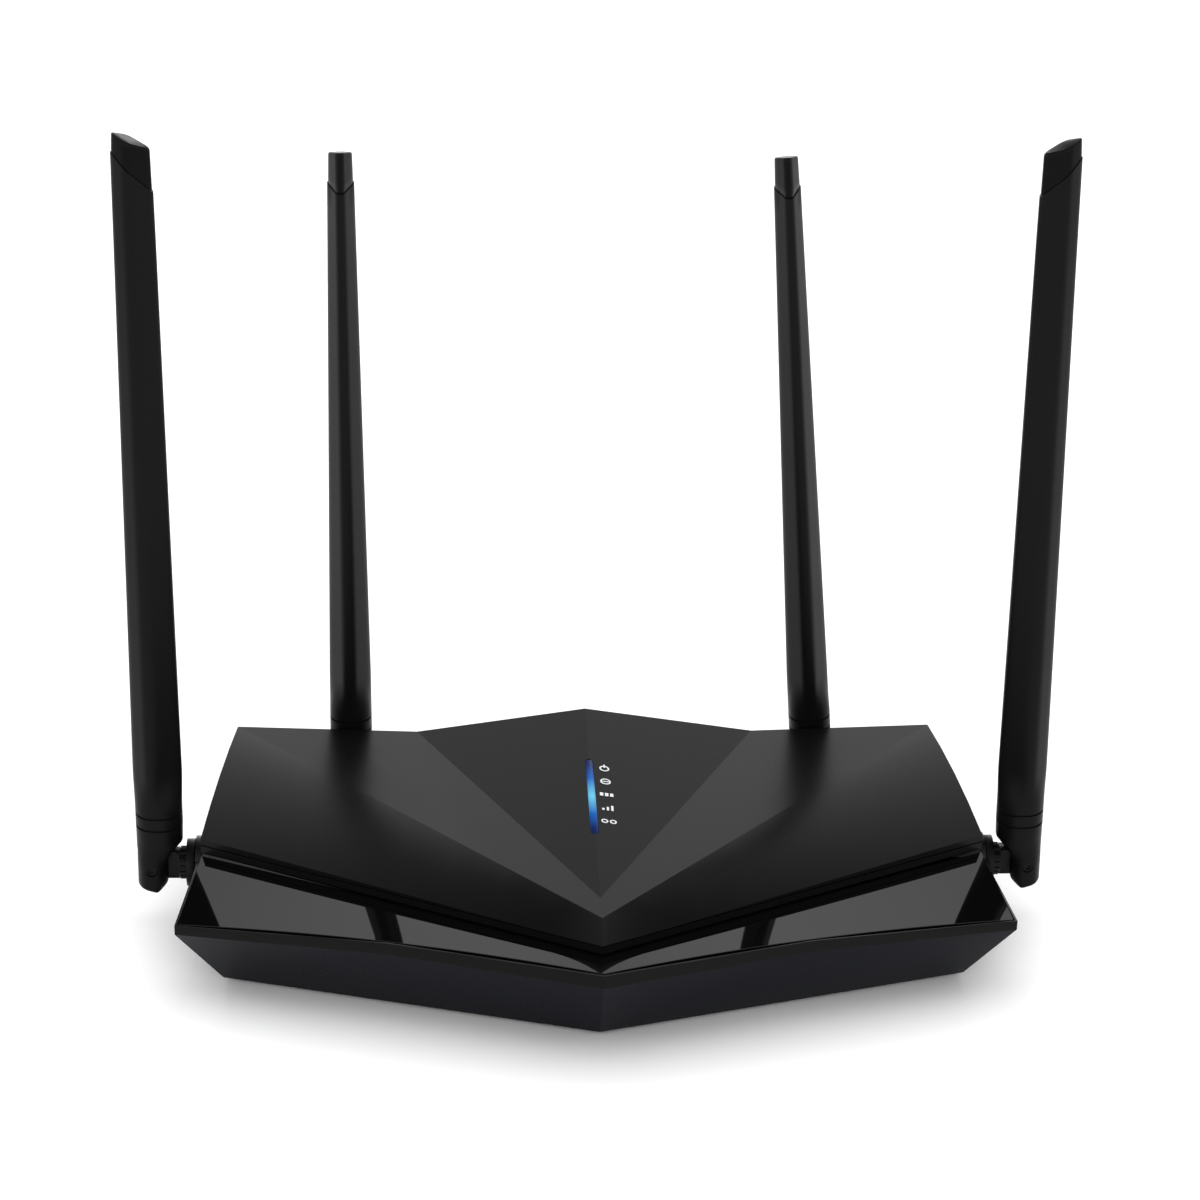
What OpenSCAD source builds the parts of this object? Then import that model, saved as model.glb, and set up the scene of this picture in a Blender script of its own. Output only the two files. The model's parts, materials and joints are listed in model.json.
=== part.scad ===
// Desktop wireless router with four folding antennas.
// Millimetres. Z = 0 is the underside of the base, origin midway between the wall-mount keyholes,
// front nose towards -Y, ports at the back towards +Y.

/* [Body] */
// half width of the rim at its front corners
rim_half_w = 106.2; // [80:0.1:130]
// half width of the rim at the back
rim_back_half_w = 97; // [75:0.1:125]
// front-back place of the rim corners (negative is forward)
corner_y = -34; // [-40:0.5:-10]
// rim nose, front-back
rim_nose_y = -63; // [-75:0.5:-45]
// back wall of the base
back_y = 55; // [45:0.5:70]
// height of the rim at the nose
rim_nose_z = 23.6; // [15:0.1:30]
// height of the rim at the corners (it droops towards the sides)
rim_corner_z = 21.1; // [12:0.1:26]
// bow of the rim halfway along each front side, upwards and backwards
rim_bow_z = 1.3; // [0:0.1:4]
rim_bow_y = 1.3; // [0:0.1:5]
// width of the flat lip along the rim
rim_lip = 0.6; // [0.3:0.1:1.2]
// height of the rim along the sides and the back
rim_back_z = 18.4; // [12:0.1:26]
// rim band height at the nose and at the corners
band_nose = 3.6; // [1:0.1:6]
band_corner = 2.6; // [1:0.1:6]
// half width of the flat underside
foot_half_w = 95.1; // [70:0.5:120]
// nose and front corners of the flat underside, front-back
foot_nose_y = -51.3; // [-70:0.1:-40]
foot_corner_y = -24.6; // [-40:0.1:-10]
// wall thickness of the plastic parts
wall = 2.2; // [1.6:0.1:3.5]
// thickness of the gloss trim laid on the deck
trim_t = 1.5; // [1:0.1:2.5]

/* [Cover] */
// lower edge of the cover
cover_low_z = 24.4; // [20:0.1:30]
// height of the lip band around the cover
lip_h = 2; // [1:0.1:4]
// rise of the cover corner over the lip band
corner_rise = 1.9; // [0.2:0.1:4]
// cover corners over the side antennas
cover_side_w = 101.4; // [80:0.1:125]
cover_side_y = -3; // [-15:0.5:10]
// crown of the twisted front facets at the sides
crown = 1.6; // [0:0.1:3]
// back corners of the cover
cover_back_w = 95; // [70:0.5:120]
cover_back_y = 57; // [45:0.5:75]
cover_back_z = 29.3; // [26:0.1:35]
// valleys beside the centre fan at the back
valley_w = 46; // [20:0.5:70]
valley_z = 27.6; // [25:0.1:34]
// back peak of the centre fan
peak_z = 34.6; // [30:0.1:45]
// nose points of the cover, front-back and height
nose_y = -54.2; // [-70:0.1:-40]
nose_top_y = -49.8; // [-65:0.1:-35]
nose_top_z = 32.2; // [26:0.1:40]
fan_y = -39.2; // [-60:0.1:-30]
fan_z = 31.6; // [28:0.1:42]

/* [Light bar] */
// front and back end of the light bar
bar_front_y = -8.4; // [-20:0.1:0]
bar_back_y = 29.4; // [15:0.1:45]
// width of the light bar
bar_w = 1.8; // [1:0.1:4]

/* [Antennas] */
// side antennas: place of the hinge along the body and its height
side_ant_y = 5; // [-10:0.5:20]
side_ant_z = 16.8; // [10:0.5:22]
// seat face of the side antennas
side_seat_x = 103.2; // [95:0.1:115]
// back antennas: distance from the middle and height
back_ant_x = 64.2; // [50:0.5:80]
back_ant_z = 13.5; // [10:0.5:22]
// seat face of the back antennas
back_seat_y = 55.6; // [50:0.1:70]
// length above the hinge pin, side pair and back pair
side_ant_len = 198; // [120:1:260]
back_ant_len = 176; // [120:1:260]
// seat face to hinge pin
pin_d = 11.4; // [9:0.1:14]
// distance of the hinge pin outwards from the middle of the blade
pin_out = 2.1; // [0:0.1:3]
// blade width and depth at the foot
blade_u = 12.7; // [8:0.1:18]
blade_v = 11.5; // [6:0.1:16]
// blade width and depth at the top
blade_u_top = 9.7; // [6:0.1:14]
blade_v_top = 6.9; // [4:0.1:12]
// rest lean of the right back antenna towards the middle, degrees
back_right_lean = 4.8; // [0:0.1:10]
// rest lean of the left back antenna outwards, degrees
back_left_lean = 0.3; // [0:0.1:10]
// rest lean of the right side antenna towards the middle, degrees
side_right_lean = 1.05; // [0:0.05:4]

/* [Ports] */
// RJ-45 jack body
jack_w = 15.9; // [15:0.1:17]
jack_h = 13.4; // [12:0.1:15]
jack_d = 21.3; // [18:0.1:25]
// centre of the WAN jack and of the first LAN jack, and LAN pitch
wan_x = 18.6; // [10:0.1:30]
lan_x = 0.4; // [-5:0.1:10]
lan_pitch = 16.9; // [16.2:0.1:20]
// power inlet, power button and pairing button
inlet_x = 34.5; // [30:0.1:40]
power_x = 47; // [42:0.1:50]
pair_x = -47; // [-52:0.1:-44]
// button travel
power_travel = 1.8; // [1:0.1:3]
pair_travel = 1.2; // [0.6:0.1:2]

/* [Board] */
// underside of the circuit board
board_z = 6; // [4:0.1:10]
// circuit board thickness
board_t = 1.6; // [1:0.1:2]
// circuit board half width, front and back edge
board_half_w = 76; // [60:0.5:85]
board_front_y = -26; // [-40:0.5:-10]
board_back_y = 50.2; // [45:0.1:53]

/* [Underside] */
// spacing of the two wall-mount keyholes
keyhole_spacing = 100; // [60:1:140]
// rubber foot diameter and how far it stands out
foot_d = 12; // [8:0.5:16]
foot_out = 1.2; // [0.6:0.1:3]

/* [Hidden] */
$fn = 48;
eps = 0.01;
gap = 0.3;
fit = 0.06;

board_top = board_z + board_t;
fan_slope = (peak_z - fan_z) / (cover_back_y - fan_y);
fan_side = (peak_z - valley_z) / valley_w;
function fan_h(x, y) = fan_z + (y - fan_y) * fan_slope - abs(x) * fan_side;

// plan of the rim: corner, middle, nose, middle, corner, side, back, back, side
function front_plan(half_w, corner, nose, inset, bow) = [
    [-(half_w - inset), corner + 0.3 * inset],
    [-(half_w - inset) / 2, (corner + nose) / 2 + bow + 0.68 * inset],
    [0, nose + 1.05 * inset],
    [(half_w - inset) / 2, (corner + nose) / 2 + bow + 0.68 * inset],
    [half_w - inset, corner + 0.3 * inset]];
function rim_plan(inset) = concat(
    front_plan(rim_half_w, corner_y, rim_nose_y, inset, rim_bow_y), [
    [rim_half_w - 3.4 - inset, cover_side_y], [rim_back_half_w - inset, back_y - inset],
    [-(rim_back_half_w - inset), back_y - inset], [-(rim_half_w - 3.4 - inset), cover_side_y]]);
function foot_plan(inset) = concat(
    front_plan(foot_half_w, foot_corner_y, foot_nose_y, inset, 0), [
    [foot_half_w - 2 - inset, cover_side_y],
    [rim_back_half_w - 8 - inset, back_y - 3 - inset],
    [-(rim_back_half_w - 8 - inset), back_y - 3 - inset],
    [-(foot_half_w - 2 - inset), cover_side_y]]);
function ring(plan, zs) = [for (i = [0 : len(plan) - 1]) [plan[i][0], plan[i][1], zs[i]]];
function level(z) = [for (i = [0 : 8]) z];

// closed solid through a stack of rings with the same number of points
module stack(rings) {
    n = len(rings[0]);
    m = len(rings);
    polyhedron(
        points = [for (r = rings) for (p = r) p],
        faces = concat(
            [for (i = [0 : n - 3]) [n - 1, i, i + 1]],
            [for (k = [0 : m - 2]) for (i = [0 : n - 1])
                [k * n + i, (k + 1) * n + i, (k + 1) * n + (i + 1) % n]],
            [for (k = [0 : m - 2]) for (i = [0 : n - 1])
                [k * n + i, (k + 1) * n + (i + 1) % n, k * n + (i + 1) % n]],
            [for (i = [0 : n - 3]) [m * n - 1, (m - 1) * n + i + 1, (m - 1) * n + i]]));
}

module tube(r_out, r_in, h) {
    difference() {
        cylinder(r = r_out, h = h);
        translate([0, 0, -eps]) cylinder(r = r_in, h = h + 2 * eps);
    }
}

// ---------------------------------------------------------------- housing
rim_side_z = rim_corner_z - 0.6;
rim_mid_z = (rim_corner_z + rim_nose_z) / 2 + rim_bow_z;
rim_zs = [rim_corner_z, rim_mid_z, rim_nose_z, rim_mid_z, rim_corner_z,
    rim_side_z, rim_back_z, rim_back_z, rim_side_z];
band_zs = [for (i = [0 : 8]) rim_zs[i]
    - (i == 2 ? band_nose : i == 1 || i == 3 ? (band_nose + band_corner) / 2 : band_corner)];
// the deck the trim lies on, its outer and its inner line
function five(corner, mid, nose) = [[-corner[0], corner[1], corner[2]],
    [-mid[0], mid[1], mid[2]], nose, mid, corner];
deck_out = five(
    [rim_half_w - rim_lip - 0.4, corner_y + 0.6, rim_corner_z - trim_t],
    [(rim_half_w - rim_lip - 0.4) / 2, (corner_y + rim_nose_y) / 2 + rim_bow_y + 0.92,
        rim_mid_z - trim_t],
    [0, rim_nose_y + 1.25, rim_nose_z - trim_t]);
deck_in = five(
    [cover_side_w - 0.2, cover_side_y - 1.2, cover_low_z - 0.5 - trim_t],
    [(cover_side_w - 0.2) / 2, (cover_side_y + nose_y + 0.8) / 2, cover_low_z - 0.5 - trim_t],
    [0, nose_y + 2, cover_low_z - 0.5 - trim_t]);
wall_top = cover_low_z - gap;

screw_posts = [[-58, -18], [58, -18], [-70, 44], [70, 44]];
case_posts = [[-20, -35], [20, -35], [-82, 46], [82, 46]];
foot_places = [[-76, -18], [76, -18], [-70, 36], [70, 36]];

// top line of the side and back walls, under the cover
function wall_line(inset) = [
    [cover_side_w - inset, cover_side_y, wall_top],
    [cover_back_w - inset, back_y - inset, wall_top],
    [-(cover_back_w - inset), back_y - inset, wall_top],
    [-(cover_side_w - inset), cover_side_y, wall_top]];
function cavity_line(z) = concat(
    five([cover_side_w - 3, cover_side_y + 1.5, z],
        [(cover_side_w - 3) / 2, (cover_side_y + nose_y + 6.1) / 2, z], [0, nose_y + 4.6, z]), [
    [cover_side_w - 3, cover_side_y + 3, z],
    [cover_back_w - 2.5, back_y - 2.5, z], [-(cover_back_w - 2.5), back_y - 2.5, z],
    [-(cover_side_w - 3), cover_side_y + 3, z]]);

module base_outer() {
    lip = rim_plan(rim_lip);
    stack([
        ring(foot_plan(0), level(0)),
        ring(rim_plan(0), band_zs),
        ring(rim_plan(0), rim_zs),
        ring(lip, rim_zs),
        concat(deck_out, [for (i = [5 : 8]) [lip[i][0], lip[i][1], rim_zs[i]]]),
        concat(deck_in, wall_line(0.3))]);
}

module base_cavity() {
    top = rim_plan(wall + 0.3);
    in_x = [2, 1, 0, -1, -2];
    in_y = [1.6, 2.1, 2.6, 2.1, 1.6];
    stack([
        ring(foot_plan(wall), level(wall)),
        [for (i = [0 : 8]) i < 5 ? [top[i][0] + in_x[i], top[i][1] + in_y[i], 16]
            : [top[i][0], top[i][1], 13.5]],
        cavity_line(20.5),
        cavity_line(30)]);
}

module keyhole() {
    translate([0, 0, -1]) cylinder(r = 4, h = wall + 2);
    translate([0, 7, -1]) cylinder(r = 2.1, h = wall + 2);
    translate([-2.1, 0, -1]) cube([4.2, 7, wall + 2]);
}

module antenna_seat(len) {
    translate([0, 0, -len]) cylinder(r = 7, h = len);
}

module seat_bore() {
    translate([0, 0, -20]) cylinder(r = 3.2 + fit, h = 30);
}

module at_side(s) {
    translate([s * side_seat_x, side_ant_y, side_ant_z]) rotate([0, s * 90, 0])
        rotate([0, 0, s > 0 ? 180 : 0]) children();
}
module at_back(s) {
    translate([s * back_ant_x, back_seat_y, back_ant_z]) rotate([-90, 0, 0])
        rotate([0, 0, -90]) children();
}

module base_shell() {
    color("#17181b") difference() {
        union() {
            difference() {
                base_outer();
                base_cavity();
            }
            for (s = [-1, 1]) {
                at_side(s) antenna_seat(4.2);
                at_back(s) antenna_seat(3.2);
            }
            for (p = screw_posts) translate([p[0], p[1], 1]) cylinder(r = 3.2, h = board_z - 1);
            for (p = case_posts) translate([p[0], p[1], 1]) cylinder(r = 3.6, h = 11);
        }
        for (s = [-1, 1]) {
            at_side(s) { seat_bore(); translate([0, 0, -24.2]) cylinder(r = 7.4, h = 20); }
            at_back(s) { seat_bore(); translate([0, 0, -23.2]) cylinder(r = 7.4, h = 20); }
        }
        for (p = screw_posts) translate([p[0], p[1], wall]) cylinder(r = 1.3, h = board_z);
        for (p = case_posts) translate([p[0], p[1], -1]) {
            cylinder(r = 1.6, h = 20);
            cylinder(r = 3.1, h = 3.6);
        }
        for (s = [-1, 1]) translate([s * keyhole_spacing / 2, 0, 0]) keyhole();
        for (p = foot_places) translate([p[0], p[1], -1])
            cylinder(r = foot_d / 2 + 0.1, h = 1.5);
        // vents under the board
        for (s = [-1, 1]) for (i = [0 : 8])
            translate([s * 25 - 16 + i * 4 - 0.9, -24, -1]) cube([1.8, 16, wall + 2]);
        for (i = [0 : 16]) translate([-32 + i * 4 - 0.9, 12, -1]) cube([1.8, 24, wall + 2]);
        // label recess
        translate([-27, -4, -1]) cube([54, 13, 1.15]);
        // port openings in the back wall
        for (x = [wan_x, lan_x, lan_x - lan_pitch, lan_x - 2 * lan_pitch])
            translate([x - jack_w / 2 - 0.2, back_y - 8, board_top - 0.1])
                cube([jack_w + 0.4, 20, jack_h + 0.4]);
        translate([inlet_x - 4.8, back_y - 8, board_top - 0.1]) cube([9.6, 20, 11.4]);
        translate([power_x, back_y - 8, board_top + 5.6]) rotate([-90, 0, 0])
            cylinder(r = 4.1, h = 20);
        translate([pair_x, back_y - 8, board_top + 4.6]) rotate([-90, 0, 0])
            cylinder(r = 2.6, h = 20);
    }
}

// cover surface, pulled in by i and down by drop for the inside. The front facets are a grid,
// because they twist from the back corner to the nose and crown a little.
cols = 8;
rows = 4;
function mix(a, b, t) = a + (b - a) * t;
function cover_grid(s, i, drop) =
    let (c = [s * (cover_back_w - i), cover_back_y - i, cover_back_z - drop],
        top_nose = [0, nose_top_y + i, nose_top_z - drop],
        g = [s * (cover_side_w - i), cover_side_y + 0.3 * i,
            cover_low_z + lip_h + corner_rise - drop],
        low_nose = [0, nose_y + 1.1 * i, cover_low_z + lip_h - drop])
    [for (k = [0 : cols]) for (j = [0 : rows]) let (t = k / cols, w = j / rows)
        mix(mix(c, top_nose, t), mix(g, low_nose, t), w)
            + [0, 0, crown * (1 - 0.7 * t) * 4 * w * (1 - w)]];
module cover_solid(i, drop, low) {
    side = (cols + 1) * (rows + 1);
    z = cover_low_z - low;
    points = concat(cover_grid(-1, i, drop), cover_grid(1, i, drop), [
        [-valley_w, cover_back_y - i, valley_z - drop], [0, cover_back_y - i, peak_z - drop],
        [valley_w, cover_back_y - i, valley_z - drop], [0, fan_y + i, fan_z - drop],
        [-(cover_side_w - i), cover_side_y + 0.3 * i, z], [0, nose_y + 1.1 * i, z],
        [cover_side_w - i, cover_side_y + 0.3 * i, z], [cover_back_w - i, cover_back_y - i, z],
        [valley_w, cover_back_y - i, z], [0, cover_back_y - i, z],
        [-valley_w, cover_back_y - i, z], [-(cover_back_w - i), cover_back_y - i, z]]);
    o = 2 * side;
    m_l = o; peak = o + 1; m_r = o + 2; fan = o + 3;
    g_l = o + 4; n = o + 5; g_r = o + 6; c_r = o + 7; b_r = o + 8; b = o + 9; b_l = o + 10;
    c_l = o + 11;
    at = function (s, k, j) s * side + k * (rows + 1) + j;
    // a face for the left side, turned over for the right
    face = function (s, f) s == 0 ? f : [f[0], f[2], f[1]];
    polyhedron(points = points, faces = concat(
        [for (s = [0, 1]) for (k = [0 : cols - 1]) for (j = [0 : rows - 1]) for (h = [0, 1])
            face(s, h == 0 ? [at(s, k, j), at(s, k + 1, j), at(s, k + 1, j + 1)]
                : [at(s, k, j), at(s, k + 1, j + 1), at(s, k, j + 1)])],
        [for (s = [0, 1]) for (k = [0 : cols - 1])
            face(s, [s == 0 ? m_l : m_r, at(s, k + 1, 0), at(s, k, 0)])],
        [for (s = [0, 1]) face(s, [s == 0 ? m_l : m_r, fan, at(s, cols, 0)])],
        [[m_l, peak, fan], [peak, m_r, fan]],
        [for (s = [0, 1]) for (j = [0 : rows - 1])
            face(s, [s == 0 ? c_l : c_r, at(s, 0, j), at(s, 0, j + 1)])],
        [for (s = [0, 1]) face(s, [s == 0 ? c_l : c_r, at(s, 0, rows), s == 0 ? g_l : g_r])],
        [for (s = [0, 1]) for (k = [0 : cols - 1])
            face(s, [s == 0 ? g_l : g_r, at(s, k, rows), at(s, k + 1, rows)])],
        [for (s = [0, 1]) face(s, [s == 0 ? g_l : g_r, at(s, cols, rows), n])],
        [[c_r, at(1, 0, 0), m_r], [c_r, m_r, b_r], [b_r, m_r, peak], [b_r, peak, b],
            [b, peak, m_l], [b, m_l, b_l], [b_l, m_l, at(0, 0, 0)], [b_l, at(0, 0, 0), c_l]],
        [[g_l, n, g_r], [g_l, g_r, c_r], [g_l, c_r, b_r], [g_l, b_r, b], [g_l, b, b_l],
            [g_l, b_l, c_l]]));
}

module bar_plan(grow) {
    r = bar_w / 2 + grow;
    translate([0, bar_front_y + bar_w / 2]) circle(r = r);
    translate([0, bar_back_y - bar_w / 2]) circle(r = r);
    translate([-r, bar_front_y + bar_w / 2]) square([2 * r, bar_back_y - bar_front_y - bar_w]);
}

module top_cover() {
    color("#1c1c1d") difference() {
        union() {
            difference() {
                cover_solid(0, 0, 0);
                cover_solid(wall, 1.9, 1);
            }
            // screw bosses that stand on the base posts
            intersection() {
                for (p = case_posts) translate([p[0], p[1], 12.3]) cylinder(r = 3.6, h = 30);
                union() {
                    cover_solid(0.5, 0.8, 0);
                    for (p = case_posts)
                        translate([p[0], p[1], 12.3]) cylinder(r = 3.6, h = cover_low_z - 12);
                }
            }
        }
        translate([0, 0, 20]) linear_extrude(20) bar_plan(0.12);
        for (p = case_posts) translate([p[0], p[1], 12]) cylinder(r = 1.25 + fit, h = 10);
        // shallow groove above the lip band
        for (s = [-1, 1]) lip_groove(s);
    }
}

module lip_groove(s) {
    run = cover_side_w;
    rise = cover_side_y - nose_y;
    ang = atan2(rise, run);
    translate([0, nose_y, cover_low_z + lip_h - 0.15]) rotate([0, 0, s > 0 ? ang : 180 - ang])
        translate([-1, s > 0 ? -1 : -0.35, 0])
            cube([sqrt(run * run + rise * rise) + 1, 1.35, 0.35]);
}

module front_trim() {
    low = [for (k = [0 : 9]) let (p = k < 5 ? deck_out[k] : deck_in[9 - k])
        [p[0], p[1], p[2] + 0.05]];
    pts = concat(low, [for (p = low) [p[0], p[1], p[2] + trim_t]]);
    color("#0b0b0c") polyhedron(points = pts, faces = concat(
        [for (k = [0 : 3]) for (h = [0, 1])
            h == 0 ? [k, k + 1, 8 - k] : [k, 8 - k, 9 - k]],
        [for (k = [0 : 3]) for (h = [0, 1])
            h == 0 ? [k + 10, 18 - k, k + 11] : [k + 10, 19 - k, 18 - k]],
        [for (i = [0 : 9]) for (h = [0, 1]) let (j = (i + 1) % 10)
            h == 0 ? [i, i + 10, j + 10] : [i, j + 10, j]]));
}

module light_pipe() {
    color("#3f9be0") intersection() {
        union() {
            translate([0, 0, board_top + 2.2]) linear_extrude(40) bar_plan(0);
            translate([-3, bar_front_y + 3, fan_z - 4.2]) cube([6, 30, 1]);
        }
        translate([0, fan_y, fan_z - 0.1]) rotate([atan(fan_slope), 0, 0])
            translate([-20, 0, -60]) cube([40, 120, 60]);
    }
}

// a flat mark on the right half of the fan
module on_fan(x, y) {
    translate([x, y, fan_h(x, y)]) rotate([atan(fan_slope), atan(fan_side), 0])
        translate([0, 0, 0.02]) children();
}
module status_marks() {
    step = (bar_back_y - bar_front_y) / 5.6;
    color("#d9dadc") for (i = [0 : 4]) on_fan(3.9, bar_back_y - 4.2 - i * step)
            scale([1.5, 1.5, 1]) {
        if (i == 0) { tube(0.9, 0.62, 0.12); translate([-0.14, 0.3, 0]) cube([0.28, 1, 0.12]); }
        if (i == 1) { tube(0.95, 0.7, 0.12); translate([-0.9, -0.12, 0]) cube([1.8, 0.24, 0.12]); }
        if (i == 2) for (k = [-1 : 1]) translate([k * 0.9 - 0.3, -0.5, 0]) cube([0.6, 1, 0.12]);
        if (i == 3) for (k = [0 : 2]) translate([k * 0.8 - 1, -0.8, 0])
            cube([0.4, 0.6 + k * 0.5, 0.12]);
        if (i == 4) for (k = [-1, 1]) translate([k * 0.75, 0, 0]) tube(0.62, 0.36, 0.12);
    }
}

// ---------------------------------------------------------------- electronics
module circuit_board() {
    notch = 11;
    color("#1d5a34") difference() {
        translate([0, 0, board_z + gap / 3]) linear_extrude(board_t - gap / 3) polygon([
            [-board_half_w, board_front_y + 12], [-board_half_w + 26, board_front_y],
            [board_half_w - 26, board_front_y], [board_half_w, board_front_y + 12],
            [board_half_w, board_back_y - notch], [board_half_w - 2, board_back_y - 4],
            [56, board_back_y - 4], [54, board_back_y], [-54, board_back_y],
            [-56, board_back_y - 4], [-board_half_w + 2, board_back_y - 4],
            [-board_half_w, board_back_y - notch]]);
        for (p = screw_posts) translate([p[0], p[1], 0]) cylinder(r = 1.5, h = 20);
    }
}

main_at = [10, -2];
module chip(w, d, h) { translate([-w / 2, -d / 2, 0]) cube([w, d, h]); }
module main_chip() {
    color("#222326") translate([main_at[0] + 14, main_at[1] - 6, board_top + 0.1])
        chip(17, 17, 1.4);
}
module heat_sink() {
    color("#a9adb2") translate([main_at[0] + 14, main_at[1] - 6, board_top + 1.6]) {
        chip(24, 24, 2);
        for (i = [0 : 6]) translate([-12 + i * 3.75, -12, 0]) cube([1.5, 24, 8]);
    }
}
module memory_chips() {
    color("#26272a") {
        translate([main_at[0] + 38, main_at[1] - 6, board_top + 0.1]) chip(11, 18, 1.1);
        translate([main_at[0] + 38, main_at[1] + 14, board_top + 0.1]) chip(5.3, 8, 1.8);
    }
}
module shield_can() {
    color("#b9bcc0") translate([-42, -2, board_top + 0.1]) difference() {
        chip(40, 26, 3.2);
        translate([0, 0, -0.3]) chip(39.4, 25.4, 3.2);
        for (i = [-3 : 3]) for (j = [-1 : 1]) translate([i * 5, j * 6, 1]) cylinder(r = 1, h = 5);
    }
}
module line_transformers() {
    color("#1c1d20") for (x = [wan_x, lan_x, lan_x - lan_pitch, lan_x - 2 * lan_pitch])
        translate([x, 31.9, board_top + 0.1]) chip(12, 4, 5.2);
}
module capacitors() {
    color("#4c4f7a") for (p = [[38, 26], [46, 22], [54, 26], [60, 8], [-66, 14]])
        translate([p[0], p[1], board_top + 0.1]) cylinder(r = 3.1, h = 8.2);
}
module indicator_leds() {
    step = (bar_back_y - bar_front_y) / 5.6;
    color("#e9eef5") for (i = [0 : 4])
        translate([0, bar_back_y - 4.2 - i * step, board_top + 0.1]) chip(1.6, 3.2, 1.2);
}

jack_face_y = back_y + 0.5;
module jack(x) {
    translate([x, jack_face_y, board_top + 0.1]) difference() {
        translate([-jack_w / 2, -jack_d, 0]) cube([jack_w, jack_d, jack_h]);
        translate([-5.95, -13.6, 2.2]) cube([11.9, 14, 7]);
        translate([-3.2, -13.6, 9.1]) cube([6.4, 14, 1.3]);
        translate([-2, -13.6, 10.3]) cube([4, 14, 1.3]);
        // slots the spring contacts lie in
        for (i = [0 : 7]) translate([-3.85 + i * 1.02, -13.6, 1.1]) cube([0.56, 11.5, 1.3]);
    }
}
module wan_jack() { color("#2d6fb3") jack(wan_x); }
module lan_jack_1() { color("#c9a227") jack(lan_x); }
module lan_jack_2() { color("#c9a227") jack(lan_x - lan_pitch); }
module lan_jack_3() { color("#c9a227") jack(lan_x - 2 * lan_pitch); }
module jack_contacts() {
    color("#d4b04a") for (x = [wan_x, lan_x, lan_x - lan_pitch, lan_x - 2 * lan_pitch])
        for (i = [0 : 7]) translate([x - 3.7 + i * 1.02 - 0.02, jack_face_y - 13.2,
                board_top + 1.35])
            cube([0.3, 10.6, 0.9]);
}

module power_inlet() {
    color("#111214") translate([inlet_x, jack_face_y, board_top + 0.1]) {
        difference() {
            translate([-4.5, -14.2, 0]) cube([9, 14.2, 10.8]);
            translate([0, -9.6, 6.2]) rotate([-90, 0, 0]) cylinder(r = 3.15, h = 10);
        }
        translate([0, -10, 6.2]) rotate([-90, 0, 0]) cylinder(r = 1, h = 9);
    }
}

// push switch: body with a square guide for the button stem
module switch_body(w, h, d) {
    difference() {
        translate([-w / 2, -d, -h]) cube([w, d, h + 3]);
        translate([-1.6, -d + 1.2, -1.6]) cube([3.2, d, 3.2]);
    }
}
module power_switch() {
    color("#2b2c2f") translate([power_x, 47.5, board_top + 5.6]) switch_body(8.4, 5.5, 12);
}
module pair_switch() {
    color("#2b2c2f") translate([pair_x, 47.5, board_top + 4.6]) switch_body(6, 4.5, 8);
}
module power_button() {
    color("#232427") translate([power_x, 0, board_top + 5.6]) {
        translate([0, 50, 0]) rotate([-90, 0, 0]) cylinder(r = 4, h = 7.8);
        translate([-1.5, 41, -1.5]) cube([3, 10, 3]);
    }
}
module pair_button() {
    color("#232427") translate([pair_x, 0, board_top + 4.6]) {
        translate([0, 49.5, 0]) rotate([-90, 0, 0]) cylinder(r = 2.5, h = 7.3);
        translate([-1.5, 43, -1.5]) cube([3, 8, 3]);
    }
}

module board_screws() {
    color("#9a9da1") for (p = screw_posts) translate([p[0], p[1], 0]) difference() {
        union() {
            translate([0, 0, wall + 0.4]) cylinder(r = 1.22, h = board_top - wall);
            translate([0, 0, board_top + 0.05]) cylinder(r = 2.5, h = 1.5);
        }
        translate([-0.3, -1.7, board_top + 0.9]) cube([0.6, 3.4, 1]);
        translate([-1.7, -0.3, board_top + 0.9]) cube([3.4, 0.6, 1]);
    }
}
module case_screws() {
    color("#8b8e92") for (p = case_posts) translate([p[0], p[1], 0]) difference() {
        union() {
            translate([0, 0, 2.55]) cylinder(r = 1.25, h = 17);
            translate([0, 0, 0.95]) cylinder(r = 2.7, h = 1.6);
        }
        translate([-0.35, -1.8, 0]) cube([0.7, 3.6, 1.8]);
        translate([-1.8, -0.35, 0]) cube([3.6, 0.7, 1.8]);
    }
}
module rubber_feet() {
    color("#2a2a2b") for (p = foot_places) translate([p[0], p[1], -foot_out]) {
        cylinder(r1 = foot_d / 2 - 0.8, r2 = foot_d / 2 - 0.3, h = 0.6);
        translate([0, 0, 0.6]) cylinder(r = foot_d / 2 - 0.2, h = foot_out - 0.15);
    }
}
module rating_label() {
    color("#c9cacc") translate([-26.5, -3.5, 0.02]) cube([53, 12, 0.1]);
}

// ---------------------------------------------------------------- antennas
// antenna frame: pin along Y, blade up along Z, X away from the body
module knuckle() {
    color("#141415") difference() {
        union() {
            translate([0, 0, -5]) cylinder(r = 3.2, h = 5.6);
            translate([0, 0, -6.1]) cylinder(r = 4.9, h = 1.5);
            translate([0, 0, gap]) cylinder(r = 6.2, h = 2.1);
            translate([0, 0, 2.3]) cylinder(r = 3.9, h = 2.1);
            intersection() {
                translate([-3.6, -2, 4.3]) cube([7.2, 4, pin_d - 4.3]);
                translate([0, 0, 4.2]) cylinder(r = 4.1, h = 12);
            }
            translate([0, 2, pin_d]) rotate([90, 0, 0]) cylinder(r = 3.6, h = 4);
        }
        translate([0, 3, pin_d]) rotate([90, 0, 0]) cylinder(r = 1.5 + fit, h = 6);
        translate([0, 0, -7]) cylinder(r = 1, h = 10);
    }
}

function blade_section(hu, hv, z, slant = 0) = [for (p = [
    [1, -0.2], [1, 0.2], [0.34, 1], [0.04, 1], [-1, 0.24], [-1, -0.24], [0.04, -1], [0.34, -1]])
    [p[0] * hu, p[1] * hv, z + slant * p[0]]];

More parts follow.
